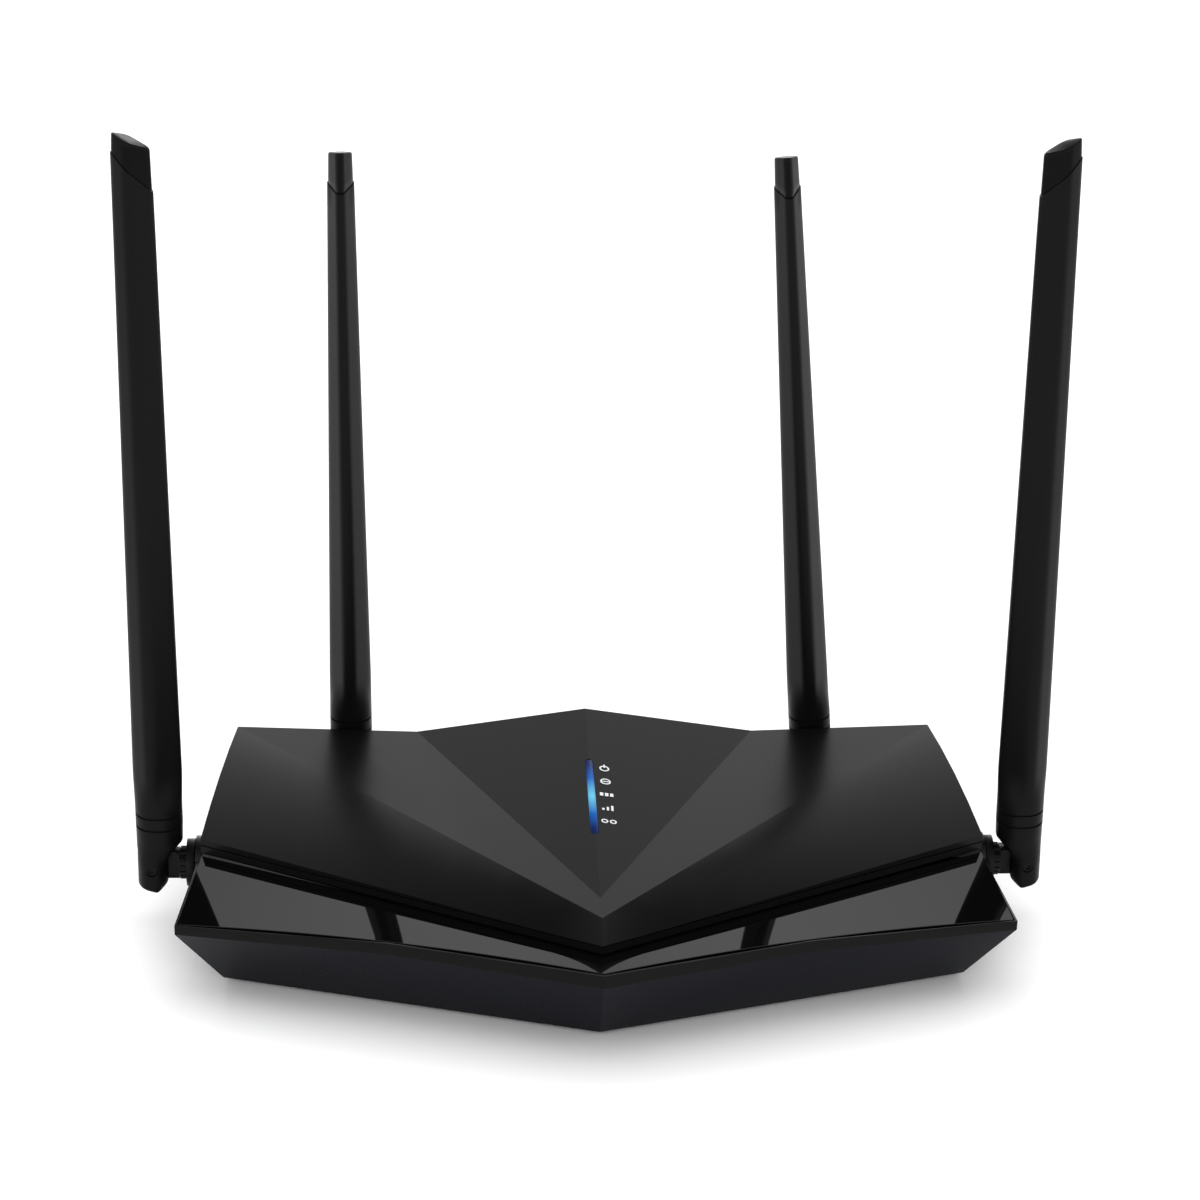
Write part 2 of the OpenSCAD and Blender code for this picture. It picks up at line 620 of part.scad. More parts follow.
foot_z = 5.6;
groove_a = 12.1;
groove_b = 15.6;
blade_foot = 22;
// rounded section at the hinge foot, same number of points as the blade section
function foot_section(hu, hv, z, inner = 0) = [for (p = [
    [1, -0.5], [1, 0.5], [0.55, 1], [-0.55, 1], [-1, 0.5], [-1, -0.5], [-0.55, -1], [0.55, -1]])
    [p[0] * (p[0] < 0 && inner > 0 ? inner : hu), p[1] * hv, z]];
// cap seams: middle height below the top and the rise from the inner to the outer edge
module blade_solid(len, seam, slant) {
    foot_v = blade_v / 2;
    span = len - seam - blade_foot;
    stack([
        foot_section(6, foot_v - 0.5, foot_z - 0.4, 4.4),
        foot_section(6, foot_v - 0.3, foot_z + 1.8, 5.9),
        foot_section(6, foot_v, groove_a - 1),
        foot_section(6.25, foot_v + 0.05, groove_b + 1.5),
        blade_section(blade_u / 2, foot_v, blade_foot),
        blade_section((blade_u * 0.45 + blade_u_top * 0.55) / 2,
            (blade_v * 0.55 + blade_v_top * 0.45) / 2, blade_foot + span * 0.6),
        blade_section(blade_u_top / 2 + 0.1, blade_v_top / 2 + 0.1, len - seam, slant)]);
}
module foot_groove(z) {
    translate([0, 0, z]) difference() {
        translate([-8, -8, 0]) cube([16, 16, 0.7]);
        translate([0, 0, -1]) linear_extrude(3)
            polygon([for (p = foot_section(5.6, blade_v / 2 - 0.45, 0)) [p[0], p[1]]]);
    }
}
module blade(len, seam, slant) {
    color("#151515") difference() {
        union() {
            translate([-pin_out, 0, 0]) blade_solid(len, seam, slant);
            // round hinge eye under the foot
            translate([0, blade_v / 2 - 0.5, 0]) rotate([90, 0, 0])
                linear_extrude(blade_v - 1) {
                    translate([2.75, -4.4]) circle(r = 1.2);
                    translate([-1.1, -3.2]) circle(r = 3.2);
                    polygon([[3.008, -5.572], [3.95, -4.4], [3.9, foot_z], [-6.4, foot_z],
                        [-4.35, 2.4], [-4.3, -3.2], [-0.412, -6.325]]);
                }
        }
        for (z = [groove_a, groove_b]) translate([-pin_out, 0, 0]) foot_groove(z);
        // fork slot, pin bore and the bore for the radiator
        translate([-12, -2.15, -8]) cube([24, 4.3, 13.5]);
        translate([0, 8, 0]) rotate([90, 0, 0]) cylinder(r = 1.5 - 0.02, h = 16);
        translate([-pin_out, 0, 5]) cylinder(r = 1.9, h = len - 23);
    }
}
module tip(len, seam, slant, drop) {
    low_u = blade_u_top / 2 - 0.15;
    color("#0d0d0e") translate([-pin_out, 0, 0]) stack([
        blade_section(low_u, blade_v_top / 2 - 0.15, len - seam + 0.15,
            slant * low_u / (blade_u_top / 2 + 0.1)),
        blade_section(blade_u_top / 2 - 0.35, blade_v_top / 2 - 0.35, len - drop / 2, drop / 2)]);
}
module pin() {
    color("#55585c") difference() {
        translate([0, blade_v / 2 - 0.8, 0]) rotate([90, 0, 0])
            cylinder(r = 1.5 - 0.05, h = blade_v - 1.6);
        translate([0, blade_v / 2 - 0.4, 0]) rotate([90, 0, 0]) cylinder(r = 0.7, h = 0.8);
        translate([0, -blade_v / 2 + 1.3, 0]) rotate([90, 0, 0]) cylinder(r = 0.7, h = 0.9);
    }
}
module radiator(len) {
    color("#c9a24a") translate([-pin_out, 0, 0]) {
        translate([0, 0, 8]) cylinder(r = 0.7, h = len - 27.5);
        translate([0, 0, 40]) cylinder(r = 1.5, h = 28);
        translate([0, 0, 90]) cylinder(r = 1.5, h = 28);
    }
}

// hinge frames: the antenna stands on its pin
module stand_side(s) {
    translate([s * (side_seat_x + pin_d), side_ant_y, side_ant_z])
        rotate([0, s > 0 ? -side_right_lean : 0, 0]) rotate([0, 0, s > 0 ? 0 : 180]) children();
}
module lean_back(s) {
    lean = s > 0 ? back_right_lean : back_left_lean;
    translate([s * back_ant_x, 0, back_ant_z]) rotate([0, -lean, 0])
        translate([-s * back_ant_x, 0, -back_ant_z]) children();
}
module stand_back(s) {
    lean_back(s) translate([s * back_ant_x, back_seat_y + pin_d, back_ant_z])
        rotate([0, 0, 90]) children();
}
side_seam = 9.6;
side_slant = 4.9;
side_drop = 4;
back_seam = 7.3;
back_slant = 1.2;
back_drop = -2.5;

module side_left_knuckle() { at_side(-1) knuckle(); }
module side_left_blade() { stand_side(-1) blade(side_ant_len, side_seam, side_slant); }
module side_left_tip() { stand_side(-1) tip(side_ant_len, side_seam, side_slant, side_drop); }
module side_left_pin() { stand_side(-1) pin(); }
module side_left_radiator() { stand_side(-1) radiator(side_ant_len); }
module side_right_knuckle() { at_side(1) knuckle(); }
module side_right_blade() { stand_side(1) blade(side_ant_len, side_seam, side_slant); }
module side_right_tip() { stand_side(1) tip(side_ant_len, side_seam, side_slant, side_drop); }
module side_right_pin() { stand_side(1) pin(); }
module side_right_radiator() { stand_side(1) radiator(side_ant_len); }
module back_left_knuckle() { lean_back(-1) at_back(-1) knuckle(); }
module back_left_blade() { stand_back(-1) blade(back_ant_len, back_seam, back_slant); }
module back_left_tip() { stand_back(-1) tip(back_ant_len, back_seam, back_slant, back_drop); }
module back_left_pin() { stand_back(-1) pin(); }
module back_left_radiator() { stand_back(-1) radiator(back_ant_len); }
module back_right_knuckle() { lean_back(1) at_back(1) knuckle(); }
module back_right_blade() { stand_back(1) blade(back_ant_len, back_seam, back_slant); }
module back_right_tip() { stand_back(1) tip(back_ant_len, back_seam, back_slant, back_drop); }
module back_right_pin() { stand_back(1) pin(); }
module back_right_radiator() { stand_back(1) radiator(back_ant_len); }

// coax leads from the knuckles to their board plugs
module lead_path(pts) {
    for (i = [0 : len(pts) - 2]) {
        v = pts[i + 1] - pts[i];
        l = norm(v);
        translate(pts[i]) rotate([0, acos(v[2] / l), atan2(v[1], v[0])])
            translate([0, 0, -0.3]) cylinder(r = 0.65, h = l + 0.6);
    }
    translate(pts[len(pts) - 1] - [0, 0, 1.5]) cylinder(r = 1.3, h = 2);
}
module side_lead(s) {
    x = side_seat_x - 6.2;
    color("#9c9fa3") lead_path([[s * x, side_ant_y, side_ant_z],
        [s * (x - 7), side_ant_y + 3, side_ant_z + 1], [s * 80, side_ant_y + 6, 12.5],
        [s * 72, side_ant_y + 6, 10.4], [s * 70, side_ant_y + 6, board_top + 1.7]]);
}
module back_lead(s) {
    y = back_seat_y - 6.8;
    color("#9c9fa3") lead_path([[s * back_ant_x, y, back_ant_z],
        [s * (back_ant_x - 1), y - 5, back_ant_z + 0.5], [s * (back_ant_x + 2), y - 12, 11.5],
        [s * (back_ant_x + 1), y - 18, board_top + 1.7]]);
}
module side_left_lead() { side_lead(-1); }
module side_right_lead() { side_lead(1); }
module back_left_lead() { back_lead(-1); }
module back_right_lead() { back_lead(1); }

base_shell();
top_cover();
front_trim();
light_pipe();
status_marks();
circuit_board();
main_chip();
heat_sink();
memory_chips();
shield_can();
line_transformers();
capacitors();
indicator_leds();
wan_jack();
lan_jack_1();
lan_jack_2();
lan_jack_3();
jack_contacts();
power_inlet();
power_switch();
power_button();
pair_switch();
pair_button();
board_screws();
case_screws();
rubber_feet();
rating_label();
side_left_knuckle();
side_left_blade();
side_left_tip();
side_left_pin();
side_left_radiator();
side_right_knuckle();
side_right_blade();
side_right_tip();
side_right_pin();
side_right_radiator();
back_left_knuckle();
back_left_blade();
back_left_tip();
back_left_pin();
back_left_radiator();
back_right_knuckle();
back_right_blade();
back_right_tip();
back_right_pin();
back_right_radiator();
side_left_lead();
side_right_lead();
back_left_lead();
back_right_lead();
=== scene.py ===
"""Desktop wireless router with four folding antennas: looks, floor, light and camera."""
import json
import math

import bmesh
import bpy
from mathutils import Matrix, Vector


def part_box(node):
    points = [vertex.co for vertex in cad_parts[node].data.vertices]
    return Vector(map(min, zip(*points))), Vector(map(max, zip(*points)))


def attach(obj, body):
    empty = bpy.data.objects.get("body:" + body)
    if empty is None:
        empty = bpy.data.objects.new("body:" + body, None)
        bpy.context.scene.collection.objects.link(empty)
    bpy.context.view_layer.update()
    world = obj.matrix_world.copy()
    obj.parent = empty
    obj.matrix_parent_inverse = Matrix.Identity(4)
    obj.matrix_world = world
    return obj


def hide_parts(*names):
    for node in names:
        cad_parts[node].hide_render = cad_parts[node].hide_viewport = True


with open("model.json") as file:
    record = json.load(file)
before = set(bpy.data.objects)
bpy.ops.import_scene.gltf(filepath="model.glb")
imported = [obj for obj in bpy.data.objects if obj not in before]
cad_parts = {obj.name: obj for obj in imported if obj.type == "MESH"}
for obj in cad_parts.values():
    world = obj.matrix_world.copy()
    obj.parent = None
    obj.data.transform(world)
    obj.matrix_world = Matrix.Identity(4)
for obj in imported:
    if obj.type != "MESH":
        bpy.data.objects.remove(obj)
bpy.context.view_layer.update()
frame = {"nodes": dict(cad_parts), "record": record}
NODES = frame["nodes"]
MM = 0.001


# ---------------------------------------------------------------- driving dimensions, metres
# the gloss deck: rim corner and nose, cover corner and nose (right half), bow of the rim
DECK_RIM_CORNER = Vector((105.2, -33.4, 21.15)) * MM
DECK_RIM_NOSE = Vector((0.0, -61.75, 23.65)) * MM
RIM_BOW = Vector((0.0, 1.3, 1.3)) * MM
DECK_COVER_CORNER = Vector((101.2, -4.2, 23.95)) * MM
DECK_COVER_NOSE = Vector((0.0, -52.2, 23.95)) * MM
DECK_THICK = 1.5 * MM
# lean of the deck's shading normals at its ends, and how much stronger it is nearer the middle
DECK_DOME, DOME_MIDDLE = 0.06, 1.2
BAND_LOW_Z = 14.5 * MM
# the cover's corner points (right half): back corner, valley, peak, fan tip, nose top and low
COVER_BACK = Vector((95.0, 57.0, 29.3)) * MM
COVER_SIDE = Vector((101.4, -3.0, 28.3)) * MM
VALLEY = Vector((46.0, 57.0, 27.6)) * MM
PEAK = Vector((0.0, 57.0, 34.6)) * MM
FAN_TIP = Vector((0.0, -39.2, 31.6)) * MM
NOSE_TOP = Vector((0.0, -49.8, 32.2)) * MM
NOSE_LOW = Vector((0.0, -54.2, 26.4)) * MM
BAR_CORE = 0.1 * MM
SIDE_SEAT = Vector((103.2, 5.0, 16.8)) * MM
BACK_SEAT = Vector((64.2, 55.6, 13.5)) * MM
BACK_LEAN = {-1: math.radians(0.3), 1: math.radians(4.8)}
STUB_R = 3.9 * MM
PIN_D = 11.4 * MM
PIN_OUT = 2.1 * MM
PIN_R = 1.5 * MM
# blade: half widths at the foot and the top, heights of the foot features
BLADE_U, BLADE_V = 6.35 * MM, 5.75 * MM
BLADE_U_TOP, BLADE_V_TOP = 4.85 * MM, 3.45 * MM
GROOVES, FOOT_TOP = (12.1 * MM, 15.6 * MM), 22.0 * MM
# hinge eye about the pin: its two bottom corners as (x, z, radius), and its outline above
EYE_OUTER, EYE_INNER = (2.75 * MM, -4.4 * MM, 1.2 * MM), (-1.1 * MM, -3.2 * MM, 3.2 * MM)
EYE_THIN, FOOT_HALF = 0.5 * MM, 6.05 * MM
INNER_EDGE = ((-3.2, -4.3), (2.4, -4.35), (5.4, -6.45), (7.4, -8.0), (11.1, -8.1))
OUTER_EDGE = ((-4.4, 3.95), (5.4, 3.9), (11.1, 3.9))
CROWN, CROWN_FADE = 1.6 * MM, 0.7
# edge rounding: full widths, and the share of it that each kind of edge takes
COVER_ROUND, LIP_SHARE, FOLD_SHARE, CREASE_SHARE = 0.3 * MM, 1.0, 0.35, 0.45
SHELL_ROUND, CORNER_SHARE, RIM_SHARE, EDGE_SHARE = 1.9 * MM, 1.0, 0.08, 0.16
RIM_LOW_Z = 19 * MM
FORK_HALF, FORK_TOP = 2.15 * MM, 5.5 * MM
# per pair: length over the pin, cap seam below the top, seam slant, top drop
PAIRS = {"side": (198 * MM, 9.6 * MM, 4.9 * MM, 4.0 * MM),
         "back": (176 * MM, 7.3 * MM, 1.2 * MM, -2.5 * MM)}
JACK_X = (18.6, 0.4, -16.5, -33.4)
WELD = 0.004 * MM

# ---------------------------------------------------------------- materials


class Shader:
    """A small builder: one principled shader with procedural detail from object coordinates."""

    def __init__(self, name, color, rough, metallic=0.0, level=0.5, ior=1.5, coat=0.0,
                 coat_rough=0.03):
        self.mat = bpy.data.materials.new(name)
        self.mat.use_nodes = True
        self.tree = self.mat.node_tree
        self.bsdf = self.tree.nodes["Principled BSDF"]
        b = self.bsdf.inputs
        b["Base Color"].default_value = (*color, 1.0)
        b["Roughness"].default_value = rough
        b["Metallic"].default_value = metallic
        b["Specular IOR Level"].default_value = level
        b["IOR"].default_value = ior
        b["Coat Weight"].default_value = coat
        b["Coat Roughness"].default_value = coat_rough
        self.color, self.rough = color, rough
        self.coords = self.tree.nodes.new("ShaderNodeTexCoord").outputs["Object"]
        self.normal = None

    def node(self, kind, **settings):
        n = self.tree.nodes.new(kind)
        for k, v in settings.items():
            setattr(n, k, v)
        return n

    def link(self, a, b):
        self.tree.links.new(a, b)

    def noise(self, scale, detail=3.0, stretch=None, rough=0.5):
        n = self.node("ShaderNodeTexNoise")
        n.inputs["Scale"].default_value = scale
        n.inputs["Detail"].default_value = detail
        n.inputs["Roughness"].default_value = rough
        if stretch:
            m = self.node("ShaderNodeMapping")
            m.inputs["Scale"].default_value = stretch
            self.link(self.coords, m.inputs["Vector"])
            self.link(m.outputs["Vector"], n.inputs["Vector"])
        else:
            self.link(self.coords, n.inputs["Vector"])
        return n.outputs["Fac"]

    def spread(self, fac, low, high, start=0.3, end=0.7):
        r = self.node("ShaderNodeMapRange")
        r.inputs["From Min"].default_value = start
        r.inputs["From Max"].default_value = end
        r.inputs["To Min"].default_value = low
        r.inputs["To Max"].default_value = high
        self.link(fac, r.inputs["Value"])
        return r.outputs["Result"]

    def vary_rough(self, fac, amount):
        self.link(self.spread(fac, self.rough - amount, self.rough + amount),
                  self.bsdf.inputs["Roughness"])
        return self

    def vary_color(self, fac, other):
        mix = self.node("ShaderNodeMix", data_type="RGBA")
        mix.inputs["A"].default_value = (*self.color, 1.0)
        mix.inputs["B"].default_value = (*other, 1.0)
        self.link(self.spread(fac, 0.0, 1.0), mix.inputs["Factor"])
        self.link(mix.outputs["Result"], self.bsdf.inputs["Base Color"])
        return self

    def bump(self, fac, strength, distance):
        b = self.node("ShaderNodeBump")
        b.inputs["Strength"].default_value = strength
        b.inputs["Distance"].default_value = distance
        self.link(fac, b.inputs["Height"])
        if self.normal is not None:
            self.link(self.normal, b.inputs["Normal"])
        self.link(b.outputs["Normal"], self.bsdf.inputs["Normal"])
        self.normal = b.outputs["Normal"]
        return self


def grained(name, color, rough, level=0.5, grain=2400.0, depth=0.00002, strength=0.25, **more):
    """Moulded plastic: fine spark-eroded grain, faint mottling and slightly uneven gloss."""
    s = Shader(name, color, rough, level=level, **more)
    s.bump(s.noise(grain, 2.0), strength, depth)
    s.vary_rough(s.noise(45.0, 4.0), 0.03)
    s.vary_color(s.noise(18.0, 3.0), tuple(c * 1.12 for c in color))
    return s


MATS = {
    "cover_black": grained("cover_black", (0.0022, 0.0022, 0.0022), 0.3, ior=1.2,
                           grain=3000.0).mat,
    "base_black": grained("base_black", (0.003, 0.0032, 0.0058), 0.3, ior=1.15).mat,
    "antenna_black": grained("antenna_black", (0.0028, 0.0028, 0.0028), 0.38, ior=1.18,
                             grain=3500.0).mat,
    "hinge_black": grained("hinge_black", (0.003, 0.003, 0.003), 0.35, ior=1.2).mat,
    "button_black": grained("button_black", (0.012, 0.012, 0.013), 0.4).mat,
    "socket_black": grained("socket_black", (0.012, 0.012, 0.012), 0.45).mat,
    "chip_black": grained("chip_black", (0.02, 0.02, 0.021), 0.5, grain=1800.0).mat,
    "foot_rubber": grained("foot_rubber", (0.018, 0.018, 0.018), 0.75, level=0.3,
                           grain=1500.0, strength=0.5).mat,
    "coax_grey": grained("coax_grey", (0.25, 0.25, 0.26), 0.45).mat,
    "wan_blue": grained("wan_blue", (0.02, 0.12, 0.42), 0.42).mat,
    "lan_yellow": grained("lan_yellow", (0.72, 0.45, 0.03), 0.42).mat,
    "capacitor_sleeve": grained("capacitor_sleeve", (0.03, 0.04, 0.12), 0.3).mat,
    "label_film": grained("label_film", (0.6, 0.6, 0.61), 0.35, grain=900.0,
                          strength=0.1).mat,
    "led_white": grained("led_white", (0.8, 0.82, 0.85), 0.3).mat,
}
gloss = Shader("gloss_black", (0.0015, 0.0015, 0.0017), 0.025, level=0.5, coat=0.0)
gloss.vary_rough(gloss.noise(30.0, 3.0), 0.008)
gloss.bump(gloss.noise(60.0, 2.0), 0.01, 0.00003)
MATS["gloss_black"] = gloss.mat
# a more reflective copy of the dark shell plastic for the rim's upward faces: a painted
# highlight line along the rim
MATS["rim_edge"] = grained("rim_edge", (0.003, 0.003, 0.003), 0.3, ior=1.35,
                           strength=0.08).mat
# a darker, glossier copy of the shell plastic for the upright band below the rim; its darker
# colour is painted shade
MATS["band_black"] = grained("band_black", (0.0015, 0.0015, 0.0013), 0.16, ior=1.2,
                             strength=0.08).mat
tip = Shader("tip_black", (0.002, 0.002, 0.002), 0.28, ior=1.16)
tip.vary_rough(tip.noise(120.0, 3.0), 0.04)
tip.bump(tip.noise(900.0, 2.0), 0.05, 0.00002)
MATS["tip_black"] = tip.mat
MATS["white_print"] = Shader("white_print", (0.62, 0.63, 0.64), 0.5).mat


def metal(name, color, rough, stretch=(1, 1, 12)):
    s = Shader(name, color, rough, metallic=1.0)
    s.vary_rough(s.noise(400.0, 4.0, stretch), 0.08)
    s.bump(s.noise(900.0, 3.0, stretch), 0.12, 0.00002)
    return s.mat


MATS["heat_sink_alloy"] = metal("heat_sink_alloy", (0.5, 0.51, 0.53), 0.35)
MATS["tin_can"] = metal("tin_can", (0.6, 0.6, 0.58), 0.3)
MATS["gold_contact"] = metal("gold_contact", (0.85, 0.62, 0.25), 0.22)
MATS["screw_steel"] = metal("screw_steel", (0.45, 0.45, 0.46), 0.32)
MATS["pin_grey"] = metal("pin_grey", (0.012, 0.012, 0.013), 0.42)
MATS["radiator_copper"] = metal("radiator_copper", (0.7, 0.38, 0.2), 0.3)

board = Shader("green_board", (0.012, 0.09, 0.03), 0.35)
board.vary_color(board.noise(260.0, 2.0, (1, 6, 1)), (0.02, 0.14, 0.05))
board.bump(board.noise(260.0, 2.0, (1, 6, 1)), 0.2, 0.00003)
MATS["green_board"] = board.mat

# light bar: a pale core that fades to deep blue at both ends and along its edges
bar_low, bar_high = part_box("light_pipe")
bar = Shader("blue_light_guide", (0.001, 0.004, 0.02), 0.25, ior=1.12)
split = bar.node("ShaderNodeSeparateXYZ")
bar.link(bar.coords, split.inputs["Vector"])
ends = bar.node("ShaderNodeMapRange")
ends.inputs["From Min"].default_value = bar_low.y
ends.inputs["From Max"].default_value = bar_high.y
bar.link(split.outputs["Y"], ends.inputs["Value"])
ramp = bar.node("ShaderNodeValToRGB")
ramp.color_ramp.elements[0].color = (0.001, 0.008, 0.05, 1)
ramp.color_ramp.elements[0].position = 0.0
ramp.color_ramp.elements[1].color = (0.001, 0.008, 0.05, 1)
ramp.color_ramp.elements[1].position = 1.0
for place, shade in ((0.08, (0.001, 0.015, 0.12)), (0.26, (0.006, 0.13, 0.55)),
                     (0.5, (0.2, 0.72, 1.0)), (0.74, (0.006, 0.13, 0.55)),
                     (0.92, (0.001, 0.015, 0.12))):
    ramp.color_ramp.elements.new(place).color = (*shade, 1)
bar.link(ends.outputs["Result"], ramp.inputs["Fac"])
off_middle = bar.node("ShaderNodeMath", operation="ABSOLUTE")
bar.link(split.outputs["X"], off_middle.inputs[0])
core = bar.node("ShaderNodeMapRange", interpolation_type="SMOOTHSTEP")
core.inputs["From Min"].default_value = BAR_CORE
core.inputs["From Max"].default_value = bar_high.x
core.inputs["To Min"].default_value = 0.85
core.inputs["To Max"].default_value = 0.0
bar.link(off_middle.outputs[0], core.inputs["Value"])
bar.link(ramp.outputs["Color"], bar.bsdf.inputs["Emission Color"])
bar.link(core.outputs["Result"], bar.bsdf.inputs["Emission Strength"])
MATS["blue_light_guide"] = bar.mat

SLOT_LOOK = {"satin_black": "base_black", "matte_black": "cover_black"}
slot_of = {s["node"]: s["material_slot"] for s in frame["record"]["subparts"]}
body_of = {n: name for name, nodes in frame["record"]["behaviour"]["bodies"].items()
           for n in nodes}


def look_of(node):
    return MATS[SLOT_LOOK.get(slot_of[node], slot_of[node])]


for name, node in NODES.items():
    node.data.materials.clear()
    node.data.materials.append(look_of(name))

# ---------------------------------------------------------------- piece making


def loose_object(name, mesh):
    obj = bpy.data.objects.new(name, mesh)
    bpy.context.scene.collection.objects.link(obj)
    return obj


def from_bmesh(name, bm):
    mesh = bpy.data.meshes.new(name)
    bm.to_mesh(mesh)
    bm.free()
    return loose_object(name, mesh)


def baked(obj, name):
    """The evaluated shape of obj as a plain mesh; obj and its modifiers go."""
    bpy.context.view_layer.update()
    graph = bpy.context.evaluated_depsgraph_get()
    mesh = bpy.data.meshes.new_from_object(obj.evaluated_get(graph))
    mesh.name = name
    old = obj.data
    bpy.data.objects.remove(obj)
    if old is not None and old.users == 0:
        bpy.data.meshes.remove(old)
    return mesh


def soften(mesh, angle=30.0):
    for face in mesh.polygons:
        face.use_smooth = True
    mesh.set_sharp_from_angle(angle=math.radians(angle))


def bevelled(obj, name, width, steps=2, crease=20.0, weighted=False):
    """Rounded edges wherever two faces meet at more than the crease angle, or by weight."""
    for face in obj.data.polygons:
        face.use_smooth = True
    edge = obj.modifiers.new("edge", "BEVEL")
    edge.width, edge.segments = width, steps
    if weighted:
        edge.limit_method = "WEIGHT"
    else:
        edge.limit_method, edge.angle_limit = "ANGLE", math.radians(crease)
    edge.harden_normals = True
    edge.use_clamp_overlap = True
    edge.miter_outer = "MITER_ARC"
    return baked(obj, name)


def welded(node, flat=0.3):
    """A copy of a CAD node with its loose triangles joined and flat areas made whole."""
    bm = bmesh.new()
    bm.from_mesh(NODES[node].data)
    bmesh.ops.remove_doubles(bm, verts=bm.verts, dist=WELD)
    bmesh.ops.dissolve_limit(bm, angle_limit=math.radians(flat), verts=bm.verts,
                             edges=bm.edges)
    return bm


def fit_piece(mesh, name, nodes, looks, body=None):
    """Puts a finished mesh in the place of its CAD nodes, on their body."""
    obj = loose_object(name, mesh)
    mesh.materials.clear()
    for look in looks:
        mesh.materials.append(look)
    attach(obj, body or body_of[nodes[0]])
    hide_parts(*nodes)
    return obj


def moulded(node, width, steps=2, crease=20.0, flat=0.3):
    """A CAD node with its edges rounded as a mould leaves them."""
    mesh = bevelled(from_bmesh(node, welded(node, flat)), node + "_moulded", width, steps,
                    crease)
    return fit_piece(mesh, node + "_piece", (node,), (look_of(node),))


# ---------------------------------------------------------------- repeated pieces


def tree_start(name, sockets):
    tree = bpy.data.node_groups.new(name, "GeometryNodeTree")
    tree.interface.new_socket("Geometry", in_out="INPUT", socket_type="NodeSocketGeometry")
    for label, kind in sockets:
        tree.interface.new_socket(label, in_out="INPUT", socket_type=kind)
    tree.interface.new_socket("Geometry", in_out="OUTPUT", socket_type="NodeSocketGeometry")
    return tree, tree.nodes.new("NodeGroupInput"), tree.nodes.new("NodeGroupOutput")


def tree_end(tree, instances, given, out):
    real = tree.nodes.new("GeometryNodeRealizeInstances")
    paint = tree.nodes.new("GeometryNodeSetMaterial")
    tree.links.new(instances, real.inputs["Geometry"])
    tree.links.new(real.outputs["Geometry"], paint.inputs["Geometry"])
    tree.links.new(given.outputs["Finish"], paint.inputs["Material"])
    tree.links.new(paint.outputs["Geometry"], out.inputs["Geometry"])
    return tree


def row_tree():
    """Copies of one piece in a straight row: first place, step and count."""
    tree, given, out = tree_start("row_of_pieces", (
        ("Piece", "NodeSocketObject"), ("Count", "NodeSocketInt"),
        ("First", "NodeSocketVector"), ("Step", "NodeSocketVector"),
        ("Finish", "NodeSocketMaterial")))
    line = tree.nodes.new("GeometryNodeMeshLine")
    line.mode = "OFFSET"
    piece = tree.nodes.new("GeometryNodeObjectInfo")
    place = tree.nodes.new("GeometryNodeInstanceOnPoints")
    tree.links.new(given.outputs["Count"], line.inputs["Count"])
    tree.links.new(given.outputs["First"], line.inputs["Start Location"])
    tree.links.new(given.outputs["Step"], line.inputs["Offset"])
    tree.links.new(given.outputs["Piece"], piece.inputs["Object"])
    tree.links.new(line.outputs["Mesh"], place.inputs["Points"])
    tree.links.new(piece.outputs["Geometry"], place.inputs["Instance"])
    return tree_end(tree, place.outputs["Instances"], given, out)


def ring_tree():
    """Copies of one piece round the Z axis, each turned to face outwards."""
    tree, given, out = tree_start("ring_of_pieces", (
        ("Piece", "NodeSocketObject"), ("Count", "NodeSocketInt"),
        ("Radius", "NodeSocketFloat"), ("Height", "NodeSocketVector"),
        ("Finish", "NodeSocketMaterial")))
    circle = tree.nodes.new("GeometryNodeMeshCircle")
    piece = tree.nodes.new("GeometryNodeObjectInfo")
    place = tree.nodes.new("GeometryNodeInstanceOnPoints")
    lift = tree.nodes.new("GeometryNodeTranslateInstances")
    index = tree.nodes.new("GeometryNodeInputIndex")
    part = tree.nodes.new("ShaderNodeMath")
    part.operation = "DIVIDE"
    turn = tree.nodes.new("ShaderNodeMath")
    turn.operation = "MULTIPLY"
    turn.inputs[1].default_value = 2 * math.pi
    about = tree.nodes.new("ShaderNodeCombineXYZ")
    tree.links.new(given.outputs["Count"], circle.inputs["Vertices"])
    tree.links.new(given.outputs["Radius"], circle.inputs["Radius"])
    tree.links.new(given.outputs["Piece"], piece.inputs["Object"])
    tree.links.new(index.outputs["Index"], part.inputs[0])
    tree.links.new(given.outputs["Count"], part.inputs[1])
    tree.links.new(part.outputs[0], turn.inputs[0])
    tree.links.new(turn.outputs[0], about.inputs["Z"])
    tree.links.new(circle.outputs["Mesh"], place.inputs["Points"])
    tree.links.new(piece.outputs["Geometry"], place.inputs["Instance"])
    tree.links.new(about.outputs["Vector"], place.inputs["Rotation"])
    tree.links.new(place.outputs["Instances"], lift.inputs["Instances"])
    tree.links.new(given.outputs["Height"], lift.inputs["Translation"])
    return tree_end(tree, lift.outputs["Instances"], given, out)


ROW, RING = row_tree(), ring_tree()


def grown(tree, name, points=(), **values):
    """Runs one tree on a host of points and returns the plain mesh."""
    host_mesh = bpy.data.meshes.new(name + "_host")
    host_mesh.from_pydata([tuple(p) for p in points] or [(0, 0, 0)], [], [])
    host = loose_object(name + "_host", host_mesh)
    maker = host.modifiers.new("maker", "NODES")
    maker.node_group = tree
    ids = {s.name: s.identifier for s in tree.interface.items_tree
           if s.item_type == "SOCKET" and s.in_out == "INPUT"}
    for label, value in values.items():
        maker[ids[label]] = value
    return baked(host, name)


def joined(name, meshes):
    """One bmesh out of several meshes, which are used up."""
    bm = bmesh.new()
    for mesh in meshes:
        bm.from_mesh(mesh)
        bpy.data.meshes.remove(mesh)
    return from_bmesh(name, bm)


